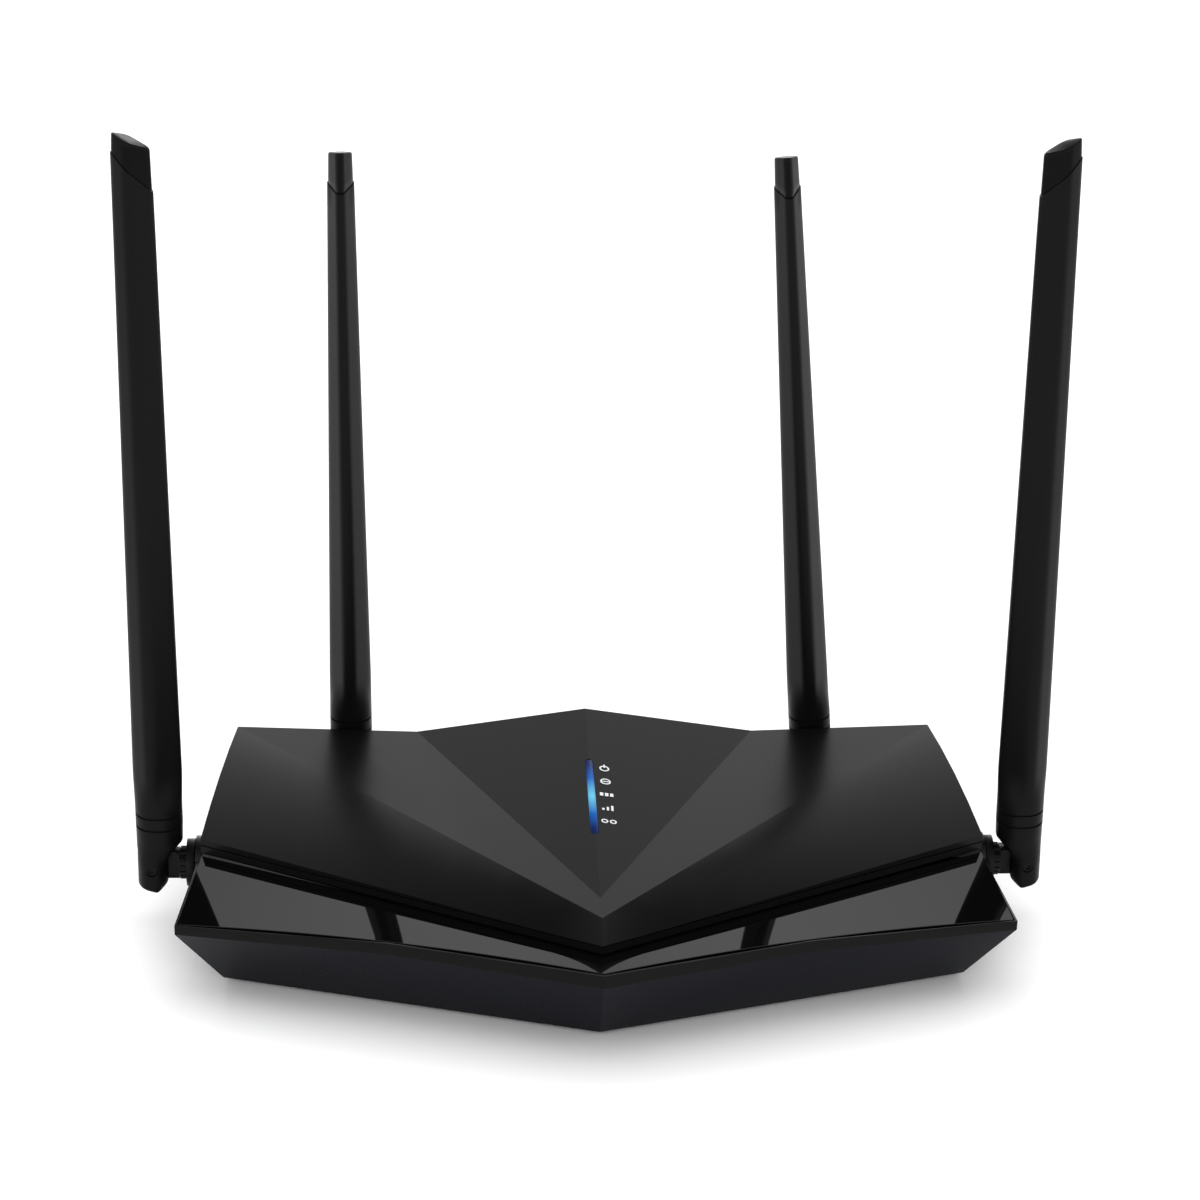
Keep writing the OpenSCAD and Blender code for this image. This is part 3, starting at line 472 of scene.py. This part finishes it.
def block(low, high, name="block"):
    bm = bmesh.new()
    bmesh.ops.create_cube(bm, size=1.0)
    low, high = Vector(low), Vector(high)
    for v in bm.verts:
        v.co = low + Vector((v.co.x + 0.5, v.co.y + 0.5, v.co.z + 0.5)) * (high - low)
    return from_bmesh(name, bm)


def block_mm(low, high, name="block"):
    return block([v * MM for v in low], [v * MM for v in high], name)


# ---------------------------------------------------------------- housing
moulded("light_pipe", 0.12 * MM, 2, 30.0)


def mirror_x(p):
    return Vector((-p.x, p.y, p.z))


def on_line(p, a, b, reach=0.06 * MM):
    along = (p - a).dot(b - a) / (b - a).length_squared
    return -0.01 < along < 1.01 and (p - a.lerp(b, along)).length < reach


def twist_place(x, y):
    """Where a point of the front facet lies: along it to the nose, and down to the lip."""
    t, w = 0.5, 0.5
    for _ in range(12):
        top = COVER_BACK.lerp(NOSE_TOP, t)
        low = COVER_SIDE.lerp(NOSE_LOW, t)
        now = top.lerp(low, w)
        dt = (NOSE_TOP - COVER_BACK).lerp(NOSE_LOW - COVER_SIDE, w)
        dw = low - top
        det = dt.x * dw.y - dt.y * dw.x
        if abs(det) < 1e-12:
            break
        ex, ey = x - now.x, y - now.y
        t += (ex * dw.y - ey * dw.x) / det
        w += (dt.x * ey - dt.y * ex) / det
        t, w = min(1.0, max(0.0, t)), min(1.0, max(0.0, w))
    return t, w


def twist_point(t, w):
    top = COVER_BACK.lerp(NOSE_TOP, t)
    low = COVER_SIDE.lerp(NOSE_LOW, t)
    return top.lerp(low, w) + Vector((0, 0, CROWN * (1 - CROWN_FADE * t) * 4 * w * (1 - w)))


def twist_normal(t, w):
    step = 0.01
    along = twist_point(min(1.0, t + step), w) - twist_point(max(0.0, t - step), w)
    down = twist_point(t, min(1.0, w + step)) - twist_point(t, max(0.0, w - step))
    n = along.cross(down).normalized()
    return n if n.z > 0 else -n


def even_facets(mesh, broad=4e-6):
    """Flat facets shade flat, and the twisted front facets shade as one smooth sheet."""
    normals = [Vector(n.vector) for n in mesh.corner_normals]
    for face in mesh.polygons:
        c = face.center
        side = 1 if c.x >= 0 else -1
        place = twist_place(side * c.x, c.y)
        inside = 0.001 < place[0] < 0.999 and 0.001 < place[1] < 0.999
        near = abs(twist_point(*place).z - c.z) < 0.5 * MM
        flat = twist_normal(*place)
        lean = Vector((side * flat.x, flat.y, flat.z)).dot(face.normal)
        if inside and near and lean > 0.8:
            for i in face.loop_indices:
                p = mesh.vertices[mesh.loops[i].vertex_index].co
                n = twist_normal(*twist_place(side * p.x, p.y))
                normals[i] = Vector((side * n.x, n.y, n.z))
        elif face.area > broad:
            for i in face.loop_indices:
                normals[i] = face.normal.copy()
    mesh.normals_split_custom_set(normals)


def cover():
    """The faceted cover: creases rounded a little, the twisted facets between them smooth."""
    creases = [(PEAK, FAN_TIP), (FAN_TIP, NOSE_TOP), (NOSE_TOP, NOSE_LOW)]
    for turn in (lambda p: p, mirror_x):
        creases += [(turn(COVER_BACK), NOSE_TOP), (turn(VALLEY), FAN_TIP),
                    (turn(COVER_SIDE), NOSE_LOW), (turn(COVER_SIDE), turn(COVER_BACK))]
    bm = welded("top_cover", 0.15)
    weight = bm.edges.layers.float.new("bevel_weight_edge")
    for edge in bm.edges:
        ends = [v.co for v in edge.verts]
        crease = any(all(on_line(p, a, b) for p in ends) for a, b in creases)
        folded = len(edge.link_faces) == 2 and edge.calc_face_angle(0) > math.radians(26)
        if folded:
            low = min(p.z for p in ends) < NOSE_LOW.z + 2.5 * MM
            back = abs(ends[0].y) > 50 * MM
            edge[weight] = LIP_SHARE if low or back else FOLD_SHARE
        elif crease:
            edge[weight] = CREASE_SHARE
    mesh = bevelled(from_bmesh("cover", bm), "top_cover_moulded", COVER_ROUND, 3,
                    weighted=True)
    even_facets(mesh)
    return fit_piece(mesh, "top_cover_piece", ("top_cover",), (look_of("top_cover"),))


cover()

shell_bm = welded("base_shell", 0.1)
shell_weight = shell_bm.edges.layers.float.new("bevel_weight_edge")
for edge in shell_bm.edges:
    a, b = (v.co for v in edge.verts)
    turn = edge.calc_face_angle(0) if len(edge.link_faces) == 2 else 0
    upright = abs(a.z - b.z) > 2 * MM and abs(a.z - b.z) > 0.3 * (a - b).length
    corner = min(abs(a.x), abs(b.x)) > 90 * MM and max(a.y, b.y) < -20 * MM
    nose = max(abs(a.x), abs(b.x)) < 1 * MM and max(a.y, b.y) < -45 * MM
    if upright and (corner or nose) and turn > math.radians(15):
        edge[shell_weight] = CORNER_SHARE
    elif turn > math.radians(24):
        edge[shell_weight] = RIM_SHARE if min(a.z, b.z) > RIM_LOW_Z else EDGE_SHARE
shell = bevelled(from_bmesh("shell", shell_bm), "base_shell_moulded", SHELL_ROUND, 4,
                 weighted=True)
fit_piece(shell, "base_shell_piece", ("base_shell",),
          (MATS["base_black"], MATS["band_black"], MATS["rim_edge"]))
# the shell's upward rim faces take the more reflective look, a painted highlight; its upright
# band faces take the darker look, painted shade
for face in shell.polygons:
    heights = [shell.vertices[i].co.z for i in face.vertices]
    outside = abs(face.center.x) > 96 * MM or face.center.y < -20 * MM
    if min(heights) > BAND_LOW_Z and outside:
        face.material_index = 2 if face.normal.z > 0.5 else 1


def deck_half(bm, hand):
    """One half of the gloss deck: a smooth twisted sheet with a rolled front edge."""
    def flip(p):
        return Vector((hand * p.x, p.y, p.z))
    across, along = 10, 36
    rows = []
    for j in range(across + 1):
        t = j / across
        row = []
        for k in range(along + 1):
            s = k / along
            rim = DECK_RIM_NOSE.lerp(DECK_RIM_CORNER, s)
            lip = DECK_COVER_NOSE.lerp(DECK_COVER_CORNER, s)
            bow = RIM_BOW * (4 * s * (1 - s) * (1 - t))
            row.append(flip(rim.lerp(lip, t) + bow))
        rows.append(row)
    edge = Vector((0.0, -0.12, -0.12)) * MM
    lead = [p + edge for p in rows[0]]
    low = [p + edge - Vector((0, 0, DECK_THICK - 0.3 * MM)) for p in rows[0]]
    grid = [low, lead] + rows
    made = [[bm.verts.new(p) for p in row] for row in grid]
    for a, b in zip(made, made[1:]):
        for k in range(along):
            corners = (a[k], a[k + 1], b[k + 1], b[k])
            bm.faces.new(corners if hand > 0 else corners[::-1])
    return made


def front_deck():
    bm = bmesh.new()
    for hand in (-1, 1):
        deck_half(bm, hand)
    bmesh.ops.remove_doubles(bm, verts=bm.verts, dist=WELD)
    # close the sheet below and at its ends
    top_faces = list(bm.faces)
    made = bmesh.ops.extrude_face_region(bm, geom=top_faces)
    for item in made["geom"]:
        if isinstance(item, bmesh.types.BMVert):
            item.co.z -= 0.2 * MM
            item.co.y += 0.05 * MM
    bmesh.ops.recalc_face_normals(bm, faces=bm.faces)
    mesh = bpy.data.meshes.new("front_trim_sheet")
    bm.to_mesh(mesh)
    bm.free()
    soften(mesh, 35.0)
    # the top shades as a little domed sheet: its shading normals lean outwards towards the
    # outer ends, while the sheet's shape is not domed
    normals = [Vector(n.vector) for n in mesh.corner_normals]
    for face in mesh.polygons:
        if face.normal.z > 0.8:
            for i in face.loop_indices:
                p = mesh.vertices[mesh.loops[i].vertex_index].co
                part = p.x / DECK_RIM_CORNER.x
                lean = DECK_DOME * part * (1 + DOME_MIDDLE * (1 - abs(part)))
                normals[i] = (normals[i] + Vector((lean, 0, 0))).normalized()
    mesh.normals_split_custom_set(normals)
    return fit_piece(mesh, "front_trim_piece", ("front_trim",), (look_of("front_trim"),))


front_deck()

# ---------------------------------------------------------------- antennas
rib_bm = bmesh.new()
bmesh.ops.create_cone(rib_bm, cap_ends=True, segments=10, radius1=0.42 * MM,
                      radius2=0.42 * MM, depth=1.5 * MM)
rib = from_bmesh("stub_rib", rib_bm)


def seat_matrix(kind, hand):
    """Place of a hinge seat, with Z along the swivel axis, away from the body."""
    if kind == "side":
        spot = Vector((hand * SIDE_SEAT.x, SIDE_SEAT.y, SIDE_SEAT.z))
        return Matrix.Translation(spot) @ Matrix.Rotation(hand * math.pi / 2, 4, "Y")
    spot = Vector((hand * BACK_SEAT.x, BACK_SEAT.y, BACK_SEAT.z))
    return (Matrix.Translation(spot) @ Matrix.Rotation(-BACK_LEAN[hand], 4, "Y")
            @ Matrix.Rotation(-math.pi / 2, 4, "X"))


SIDE_LEAN = {-1: 0.0, 1: math.radians(1.05)}
# corners of the blade and foot sections in half widths
BLADE_CORNERS = ((1, -0.2), (1, 0.2), (0.34, 1), (0.04, 1), (-1, 0.24), (-1, -0.24),
                 (0.04, -1), (0.34, -1))
FOOT_CORNERS = ((1, -0.5), (1, 0.5), (0.55, 1), (-0.55, 1), (-1, 0.5), (-1, -0.5),
                (-0.55, -1), (0.55, -1))
AROUND = 56


def rounded(corners, hu, hv, soft=16.0):
    """Points of a polygon section with its corners rounded, at even angles."""
    pts = [Vector((u * hu, v * hv)) for u, v in corners]
    sides = []
    for a, b in zip(pts, pts[1:] + pts[:1]):
        out = Vector((b.y - a.y, a.x - b.x)).normalized()
        sides.append((out, out.dot(a)))
    ring = []
    for k in range(AROUND):
        t = 2 * math.pi * k / AROUND
        way = Vector((math.cos(t), math.sin(t)))
        pull = sum((max(0.0, way.dot(n)) / d) ** soft for n, d in sides)
        ring.append(way * pull ** (-1 / soft))
    return ring


def blend_rings(a, b, t):
    t = t * t * (3 - 2 * t)
    return [p.lerp(q, t) for p, q in zip(a, b)]


def loft(name, rings):
    """Closed solid through rings of points, first ring at the bottom."""
    bm = bmesh.new()
    made = [[bm.verts.new(p) for p in ring] for ring in rings]
    for a, b in zip(made, made[1:]):
        for k in range(len(a)):
            n = (k + 1) % len(a)
            bm.faces.new((a[k], a[n], b[n], b[k]))
    bm.faces.new(made[0][::-1])
    bm.faces.new(made[-1])
    bmesh.ops.recalc_face_normals(bm, faces=bm.faces)
    return from_bmesh(name, bm)


def along(points, z):
    """Value of a broken line of (height, value) pairs in millimetres at a height."""
    z /= MM
    for (z0, v0), (z1, v1) in zip(points, points[1:]):
        if z <= z1:
            return (v0 + (v1 - v0) * max(0.0, (z - z0) / (z1 - z0))) * MM
    return points[-1][1] * MM


def foot_span(z):
    """Inner and outer edge of the hinge foot at a height above the pin."""
    (ox, oz, orad), (ix, iz, irad) = EYE_OUTER, EYE_INNER
    inner, outer = along(INNER_EDGE, z), along(OUTER_EDGE, z)
    if z < iz:
        reach = math.sqrt(max(0.0, irad ** 2 - (z - iz) ** 2))
        inner = ix - reach
        if z < oz:
            # the straight bottom between the two corners, then the outer corner itself
            run = math.hypot(ox - ix, oz - iz)
            lean = math.asin((irad - orad) / run) + math.atan2(oz - iz, ox - ix)
            low = iz - irad * math.cos(lean)
            high = oz - orad * math.cos(lean)
            if z < low:
                outer = ix + reach
            elif z < high:
                share = (z - low) / (high - low)
                start, end = ix + irad * math.sin(lean), ox + orad * math.sin(lean)
                outer = start + (end - start) * share
            else:
                outer = ox + math.sqrt(max(0.0, orad ** 2 - (z - oz) ** 2))
    return inner, outer


def blade_rings(pair):
    length, seam, slant, _ = PAIRS[pair]
    end = length - seam
    foot = rounded(FOOT_CORNERS, BLADE_U - 0.1 * MM, BLADE_V, 9.0)
    widest = max(p.x for p in foot)
    foot = [Vector((p.x * FOOT_HALF / widest, p.y)) for p in foot]
    low = rounded(BLADE_CORNERS, BLADE_U, BLADE_V)
    high = rounded(BLADE_CORNERS, BLADE_U_TOP + 0.1 * MM, BLADE_V_TOP + 0.1 * MM)
    rings = []

    def add(ring, z, tilt=0.0, scale=1.0):
        wide = max(p.x for p in ring)
        rings.append([Vector((p.x * scale, p.y * scale, z + tilt * p.x / wide))
                      for p in ring])

    # eye with rounded bottom corners, then the foot, cut back on its inner side
    bottom = EYE_INNER[1] - EYE_INNER[2]
    heights = [bottom + d * MM for d in (0.02, 0.06, 0.15, 0.3, 0.5, 0.8, 1.1, 1.5, 2.0, 2.6,
                                         3.2, 4.9, 6.9, 8.8, 10.0, 11.0, 11.9, 12.9, 13.8,
                                         15.0, 16.4, 17.5)]
    for z in heights:
        inner, outer = foot_span(z)
        middle, half = (inner + outer) / 2 + PIN_OUT, (outer - inner) / 2
        sink = max(0.0, 1 - (z - bottom) / (0.7 * MM))
        round_off = 0.7 * MM * (1 - math.sqrt(1 - sink * sink))
        thin = EYE_THIN * min(1.0, max(0.0, (GROOVES[0] - 2 * MM - z) / (5 * MM)))
        thick = (BLADE_V - thin - round_off) / BLADE_V
        rings.append([Vector((middle + p.x / FOOT_HALF * half, p.y * thick, z)) for p in foot])
    for z in GROOVES:
        for dz, scale in ((-0.02, 1.0), (0.06, 0.94), (0.6, 0.94), (0.68, 1.0)):
            add(foot, z + dz * MM, 0.0, scale)
    last = GROOVES[1] + 0.9 * MM
    for k in range(9):
        t = k / 8
        add(blend_rings(foot, low, t), last + (FOOT_TOP + 6 * MM - last) * t)
    for k in range(1, 24):
        t = k / 24
        add([p.lerp(q, t) for p, q in zip(low, high)],
            FOOT_TOP + 6 * MM + (end - FOOT_TOP - 6 * MM) * t, slant * max(0.0, t - 0.9) * 10)
    add(high, end - 0.15 * MM, slant)
    add(high, end, slant, 0.97)
    return rings


def tip_rings(pair):
    length, seam, slant, drop = PAIRS[pair]
    low = rounded(BLADE_CORNERS, BLADE_U_TOP - 0.15 * MM, BLADE_V_TOP - 0.15 * MM)
    high = rounded(BLADE_CORNERS, BLADE_U_TOP - 0.35 * MM, BLADE_V_TOP - 0.35 * MM)
    wide = max(p.x for p in low)
    rings = []
    start, stop = length - seam + 0.1 * MM, length - drop / 2
    for t, scale in ((0.0, 0.97), (0.02, 1.0), (0.25, 1.0), (0.5, 1.0), (0.75, 1.0),
                     (0.94, 1.0), (0.98, 0.97), (1.0, 0.9)):
        ring = [p.lerp(q, t) * scale for p, q in zip(low, high)]
        tilt = slant + (drop / 2 - slant) * t
        rings.append([Vector((p.x, p.y, start + (stop - start) * t + tilt * p.x / wide))
                      for p in ring])
    return rings


def stand_matrix(pair, hand):
    """Frame of a standing antenna: origin on its pin, X away from the body, Z up."""
    if pair == "side":
        pin = Vector((hand * (SIDE_SEAT.x + PIN_D), SIDE_SEAT.y, SIDE_SEAT.z))
        turn = Matrix.Rotation(-SIDE_LEAN[hand], 4, "Y")
        return (Matrix.Translation(pin) @ turn
                @ Matrix.Rotation(0.0 if hand > 0 else math.pi, 4, "Z"))
    pin = Vector((hand * BACK_SEAT.x, BACK_SEAT.y + PIN_D, BACK_SEAT.z))
    return (Matrix.Translation(pin) @ Matrix.Rotation(-BACK_LEAN[hand], 4, "Y")
            @ Matrix.Rotation(math.pi / 2, 4, "Z"))


def cut(obj, cutter):
    knife = obj.modifiers.new("cut", "BOOLEAN")
    knife.operation, knife.solver, knife.object = "DIFFERENCE", "EXACT", cutter


def antenna(pair, hand, name):
    """Blade with its grooved foot and fork, and the slanted cap."""
    blade = loft(name + "_loft", blade_rings(pair))
    blade.data.transform(Matrix.Translation((-PIN_OUT, 0, 0)))
    fork = block((-20 * MM, -FORK_HALF, -20 * MM), (20 * MM, FORK_HALF, FORK_TOP), "fork")
    bore_bm = bmesh.new()
    bmesh.ops.create_cone(bore_bm, cap_ends=True, segments=32, radius1=PIN_R, radius2=PIN_R,
                          depth=30 * MM,
                          matrix=Matrix.Rotation(math.pi / 2, 4, "X"))
    bore = from_bmesh("bore", bore_bm)
    cut(blade, fork)
    cut(blade, bore)
    mesh = baked(blade, name + "_blade_shaped")
    for tool in (fork, bore):
        bpy.data.objects.remove(tool)
    mesh.transform(stand_matrix(pair, hand))
    soften(mesh, 32.0)
    fit_piece(mesh, name + "_blade_piece", (name + "_blade",), (MATS["antenna_black"],))
    cap = baked(loft(name + "_cap", tip_rings(pair)), name + "_cap_shaped")
    cap.transform(stand_matrix(pair, hand) @ Matrix.Translation((-PIN_OUT, 0, 0)))
    soften(cap, 32.0)
    fit_piece(cap, name + "_tip_piece", (name + "_tip",), (MATS["tip_black"],))


for kind in ("side", "back"):
    for hand, word in ((-1, "left"), (1, "right")):
        name = f"{kind}_{word}"
        antenna(kind, hand, name)
        moulded(name + "_pin", 0.12 * MM, 2, 40.0)
        ribs = grown(RING, name + "_ribs", Piece=rib, Count=14, Radius=STUB_R,
                     Height=(0.0, 0.0, 3.4 * MM), Finish=MATS["hinge_black"])
        ribs.transform(seat_matrix(kind, hand))
        core = bevelled(from_bmesh(name, welded(name + "_knuckle")), name + "_core",
                        0.2 * MM, 2, 30.0)
        knuckle = joined(name + "_swivel", [core, ribs])
        mesh = baked(knuckle, name + "_knuckle_ribbed")
        soften(mesh, 40.0)
        fit_piece(mesh, name + "_knuckle_piece", (name + "_knuckle",),
                  (MATS["hinge_black"],))
bpy.data.objects.remove(rib)

# ---------------------------------------------------------------- sockets and contacts
for node in ("wan_jack", "lan_jack_1", "lan_jack_2", "lan_jack_3", "power_inlet"):
    moulded(node, 0.12 * MM, 2, 40.0)
for node in ("power_button", "pair_button"):
    moulded(node, 0.35 * MM, 3, 40.0)

low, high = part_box("jack_contacts")


def spring_contact():
    """One gold finger: flat at the root, kinked up to meet the plug."""
    depth = high.y - low.y
    path = [(0.0, 0.05), (0.12, 0.05), (0.2, 0.3), (0.72, 0.86), (0.8, 0.86), (1.0, 0.2)]
    half, thick = 0.15 * MM, 0.12 * MM
    rise = high.z - low.z - thick
    bm = bmesh.new()
    rings = []
    for along, up in path:
        y, z = -along * depth, up * rise
        rings.append([bm.verts.new(p) for p in ((-half, y, z), (half, y, z),
                                                (half, y, z + thick), (-half, y, z + thick))])
    for a, b in zip(rings, rings[1:]):
        for k in range(4):
            bm.faces.new((a[k], a[(k + 1) % 4], b[(k + 1) % 4], b[k]))
    bm.faces.new(rings[0][::-1])
    bm.faces.new(rings[-1])
    bmesh.ops.recalc_face_normals(bm, faces=bm.faces)
    return from_bmesh("spring_contact", bm)


finger = spring_contact()
banks = []
for x in JACK_X:
    first = ((x - 3.57) * MM, high.y, low.z)
    banks.append(grown(ROW, "contact_bank", Piece=finger, Count=8, First=first,
                       Step=(1.02 * MM, 0.0, 0.0), Finish=MATS["gold_contact"]))
bpy.data.objects.remove(finger)
contacts = baked(joined("contacts", banks), "jack_contact_banks")
fit_piece(contacts, "jack_contacts_piece", ("jack_contacts",), (MATS["gold_contact"],))

# ---------------------------------------------------------------- inside
low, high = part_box("heat_sink")
fin = block((-0.75 * MM, 0, 0), (0.75 * MM, high.y - low.y, high.z - low.z - 2 * MM), "fin")
fins = grown(ROW, "fins", Piece=fin, Count=7, First=(low.x + 0.75 * MM, low.y, low.z + 2 * MM),
             Step=(3.75 * MM, 0.0, 0.0), Finish=MATS["heat_sink_alloy"])
bpy.data.objects.remove(fin)
plate = baked(block(low, (high.x, high.y, low.z + 2 * MM), "plate"), "plate")
sink = bevelled(joined("sink", [plate, fins]), "heat_sink_finned", 0.2 * MM, 2, 40.0)
fit_piece(sink, "heat_sink_piece", ("heat_sink",), (MATS["heat_sink_alloy"],))

for node in ("main_chip", "memory_chips", "shield_can", "line_transformers", "capacitors",
             "power_switch", "pair_switch", "board_screws", "case_screws", "rubber_feet",
             "indicator_leds"):
    moulded(node, 0.15 * MM, 2, 40.0)

# small chip resistors in rows on the board, soldered between the big parts
board_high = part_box("circuit_board")[1]
resistor = bevelled(block_mm((-0.8, -0.4, 0), (0.8, 0.4, 0.45)), "resistor", 0.06 * MM, 1, 40.0)
resistor_obj = loose_object("resistor", resistor)
rows = []
for x, y, count, step in ((-20, 15, 9, 3.2), (-20, 18, 9, 3.2), (12, 16, 7, 3.0),
                          (-66, -6, 4, 4.0), (8, -20, 10, 3.6), (-34, -20, 9, 3.4)):
    rows.append(grown(ROW, "resistors", Piece=resistor_obj, Count=count,
                      First=(x * MM, y * MM, board_high.z), Step=(step * MM, 0, 0),
                      Finish=MATS["chip_black"]))
bpy.data.objects.remove(resistor_obj)
small_parts = baked(joined("small_parts", rows), "board_resistors")
small = loose_object("board_resistors_piece", small_parts)
small_parts.materials.clear()
small_parts.materials.append(MATS["chip_black"])
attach(small, "housing")

# ---------------------------------------------------------------- stage, light, camera
floor_mesh = bpy.data.meshes.new("floor")
half = 3.0
low_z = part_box("rubber_feet")[0].z
floor_mesh.from_pydata([(-half, -half, low_z), (half, -half, low_z), (half, half, low_z),
                        (-half, half, low_z)], [], [(0, 1, 2, 3)])
floor = bpy.data.objects.new("floor", floor_mesh)
bpy.context.scene.collection.objects.link(floor)
floor_look = Shader("floor_paper", (0.92, 0.92, 0.92), 0.9, level=0.1)
floor_look.vary_rough(floor_look.noise(30.0), 0.04)
floor_mesh.materials.append(floor_look.mat)

world = bpy.data.worlds.new("studio")
bpy.context.scene.world = world
world.use_nodes = True
# brightest low down, white to HIGH_TENT, then a darker ceiling
LOW_GLOW, HIGH_TENT, CEILING = 2.1, 0.5, 0.26
GLOW_FROM, GLOW_TO = 0.12, 0.42
sky = world.node_tree.nodes["Background"]
sky.inputs["Color"].default_value = (1, 1, 1, 1)
heading = world.node_tree.nodes.new("ShaderNodeTexCoord")
height = world.node_tree.nodes.new("ShaderNodeSeparateXYZ")
fall = world.node_tree.nodes.new("ShaderNodeMapRange")
fall.interpolation_type = "SMOOTHSTEP"
fall.inputs["From Min"].default_value = HIGH_TENT
fall.inputs["From Max"].default_value = 1.0
fall.inputs["To Min"].default_value = 1.0
fall.inputs["To Max"].default_value = CEILING
world.node_tree.links.new(heading.outputs["Generated"], height.inputs["Vector"])
world.node_tree.links.new(height.outputs["Z"], fall.inputs["Value"])
glow = world.node_tree.nodes.new("ShaderNodeMapRange")
glow.inputs["From Min"].default_value = GLOW_FROM
glow.inputs["From Max"].default_value = GLOW_TO
glow.inputs["To Min"].default_value = LOW_GLOW
glow.inputs["To Max"].default_value = 1.0
world.node_tree.links.new(height.outputs["Z"], glow.inputs["Value"])
both = world.node_tree.nodes.new("ShaderNodeMath")
both.operation = "MULTIPLY"
world.node_tree.links.new(fall.outputs["Result"], both.inputs[0])
world.node_tree.links.new(glow.outputs["Result"], both.inputs[1])
world.node_tree.links.new(both.outputs["Value"], sky.inputs["Strength"])


def area_light(name, place, aim, wide, high, power):
    data = bpy.data.lights.new(name, "AREA")
    data.shape = "RECTANGLE"
    data.size, data.size_y, data.energy = wide, high, power
    lamp = bpy.data.objects.new(name, data)
    lamp.location = place
    lamp.rotation_euler = (Vector(aim) - Vector(place)).to_track_quat("-Z", "Y").to_euler()
    bpy.context.scene.collection.objects.link(lamp)
    return lamp


fill = area_light("top_softbox", (0.0, 0.3, 1.6), (0, 0, 0), 2.4, 2.4, 34.0)
fill.visible_glossy = False

FOCAL = 3300 / 1200
AIM = Vector((0.0, -6.83, 98.26)) * MM
DISTANCE = 821.1 * MM
UP_ANGLE, TURN, ROLL = (math.radians(v) for v in (25.607, -3.144, 1.291))
back = Vector((math.sin(TURN) * math.cos(UP_ANGLE), -math.cos(TURN) * math.cos(UP_ANGLE),
               math.sin(UP_ANGLE)))
side = Vector((math.cos(TURN), math.sin(TURN), 0))
top = back.cross(side)
right = math.cos(ROLL) * side + math.sin(ROLL) * top
top = math.cos(ROLL) * top - math.sin(ROLL) * side.copy()
camera_data = bpy.data.cameras.new("camera")
camera_data.sensor_width = 36.0
camera_data.lens = 36.0 * FOCAL
camera = bpy.data.objects.new("camera", camera_data)
bpy.context.scene.collection.objects.link(camera)
spot = AIM + back * DISTANCE
camera.matrix_world = Matrix((
    (right.x, top.x, back.x, spot.x), (right.y, top.y, back.y, spot.y),
    (right.z, top.z, back.z, spot.z), (0, 0, 0, 1)))
bpy.context.scene.camera = camera
bpy.context.scene.view_settings.view_transform = "Standard"
